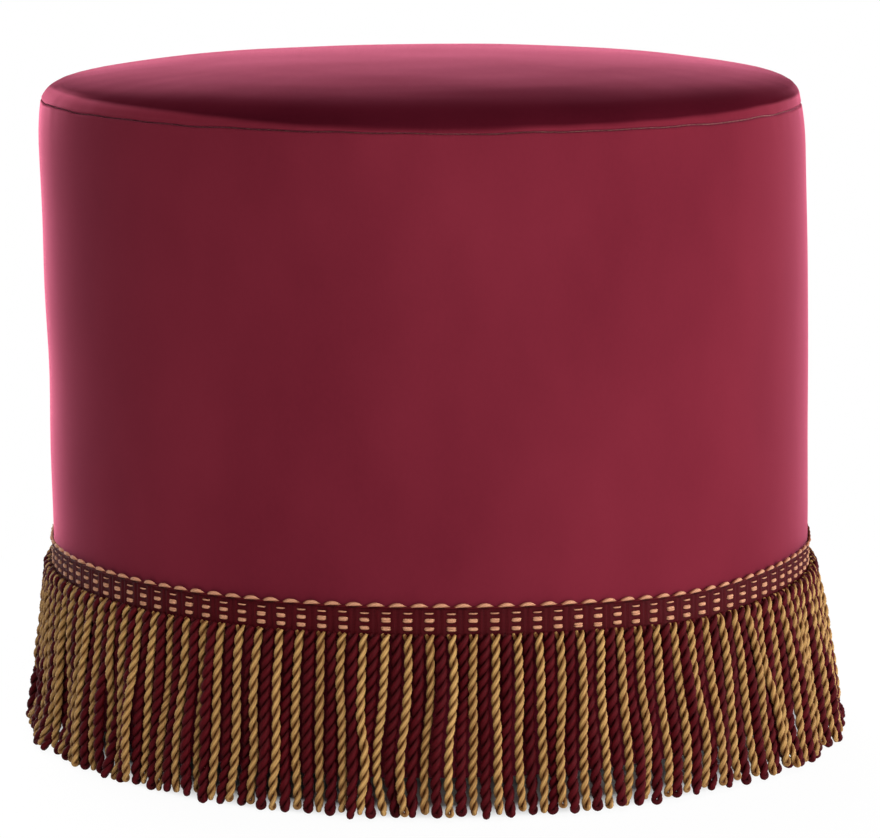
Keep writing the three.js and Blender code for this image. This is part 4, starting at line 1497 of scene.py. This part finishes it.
class TUFFET_OT_side_cover(bpy.types.Operator):
    """Add the velvet band round the drum, and the stitches of its seam"""

    bl_idname = "tuffet.side_cover"
    bl_label = "Side cover"

    def execute(self, context):
        add_side_cover(context.scene.tuffet_covers)
        add_seam_stitches(context.scene.tuffet_covers)
        return {"FINISHED"}


class TUFFET_OT_fringe(bpy.types.Operator):
    """Add the bullion fringe: its cords, the woven heading, its gold floats and the lip"""

    bl_idname = "tuffet.fringe"
    bl_label = "Fringe"

    def execute(self, context):
        settings = context.scene.tuffet_fringe
        pieces = add_fringe(settings)
        ground = add_heading_ground(settings)
        pieces += [add_floats(settings), *add_lip(settings)]
        return {"FINISHED"}


class TUFFET_OT_padding(bpy.types.Operator):
    """Add the foam and the wadding"""

    bl_idname = "tuffet.padding"
    bl_label = "Padding"

    def execute(self, context):
        add_padding(context.scene.tuffet_padding)
        return {"FINISHED"}


class TUFFET_OT_underside(bpy.types.Operator):
    """Add the dust cover with its staples, and the feet"""

    bl_idname = "tuffet.underside"
    bl_label = "Underside"

    def execute(self, context):
        add_dust_cover(context.scene.tuffet_padding)
        add_feet()
        return {"FINISHED"}


class TUFFET_OT_frame(bpy.types.Operator):
    """Finish the wood, board and steel of the frame"""

    bl_idname = "tuffet.frame"
    bl_label = "Frame finishes"

    def execute(self, context):
        finish_frame()
        return {"FINISHED"}


class TUFFET_PT_panel(bpy.types.Panel):
    """Lists the pieces of the stool and their sizes and colours"""

    bl_idname = "TUFFET_PT_panel"
    bl_label = "Tuffet"
    bl_space_type = "VIEW_3D"
    bl_region_type = "UI"
    bl_category = "Tuffet"

    def draw(self, context):
        column = self.layout.column()
        for operator in OPERATORS:
            column.operator(operator.bl_idname)
        for group, _ in GROUPS:
            settings = getattr(context.scene, group)
            for key in settings.__annotations__:
                column.prop(settings, key)


OPERATORS = (
    TUFFET_OT_stage,
    TUFFET_OT_seat_cover,
    TUFFET_OT_side_cover,
    TUFFET_OT_fringe,
    TUFFET_OT_padding,
    TUFFET_OT_underside,
    TUFFET_OT_frame,
)

GROUPS = (
    ("tuffet_covers", CoverSettings),
    ("tuffet_fringe", FringeSettings),
    ("tuffet_padding", PaddingSettings),
    ("tuffet_stage", StageSettings),
)


def register():
    for name, group in GROUPS:
        bpy.utils.register_class(group)
        setattr(bpy.types.Scene, name, bpy.props.PointerProperty(type=group))
    for operator in OPERATORS:
        bpy.utils.register_class(operator)
    bpy.utils.register_class(TUFFET_PT_panel)


def unregister():
    bpy.utils.unregister_class(TUFFET_PT_panel)
    for operator in reversed(OPERATORS):
        bpy.utils.unregister_class(operator)
    for name, group in reversed(GROUPS):
        delattr(bpy.types.Scene, name)
        bpy.utils.unregister_class(group)


def main():
    register()
    bpy.ops.tuffet.stage()
    bpy.ops.tuffet.seat_cover()
    bpy.ops.tuffet.side_cover()
    bpy.ops.tuffet.fringe()
    bpy.ops.tuffet.padding()
    bpy.ops.tuffet.underside()
    bpy.ops.tuffet.frame()


if __name__ == "__main__":
    main()
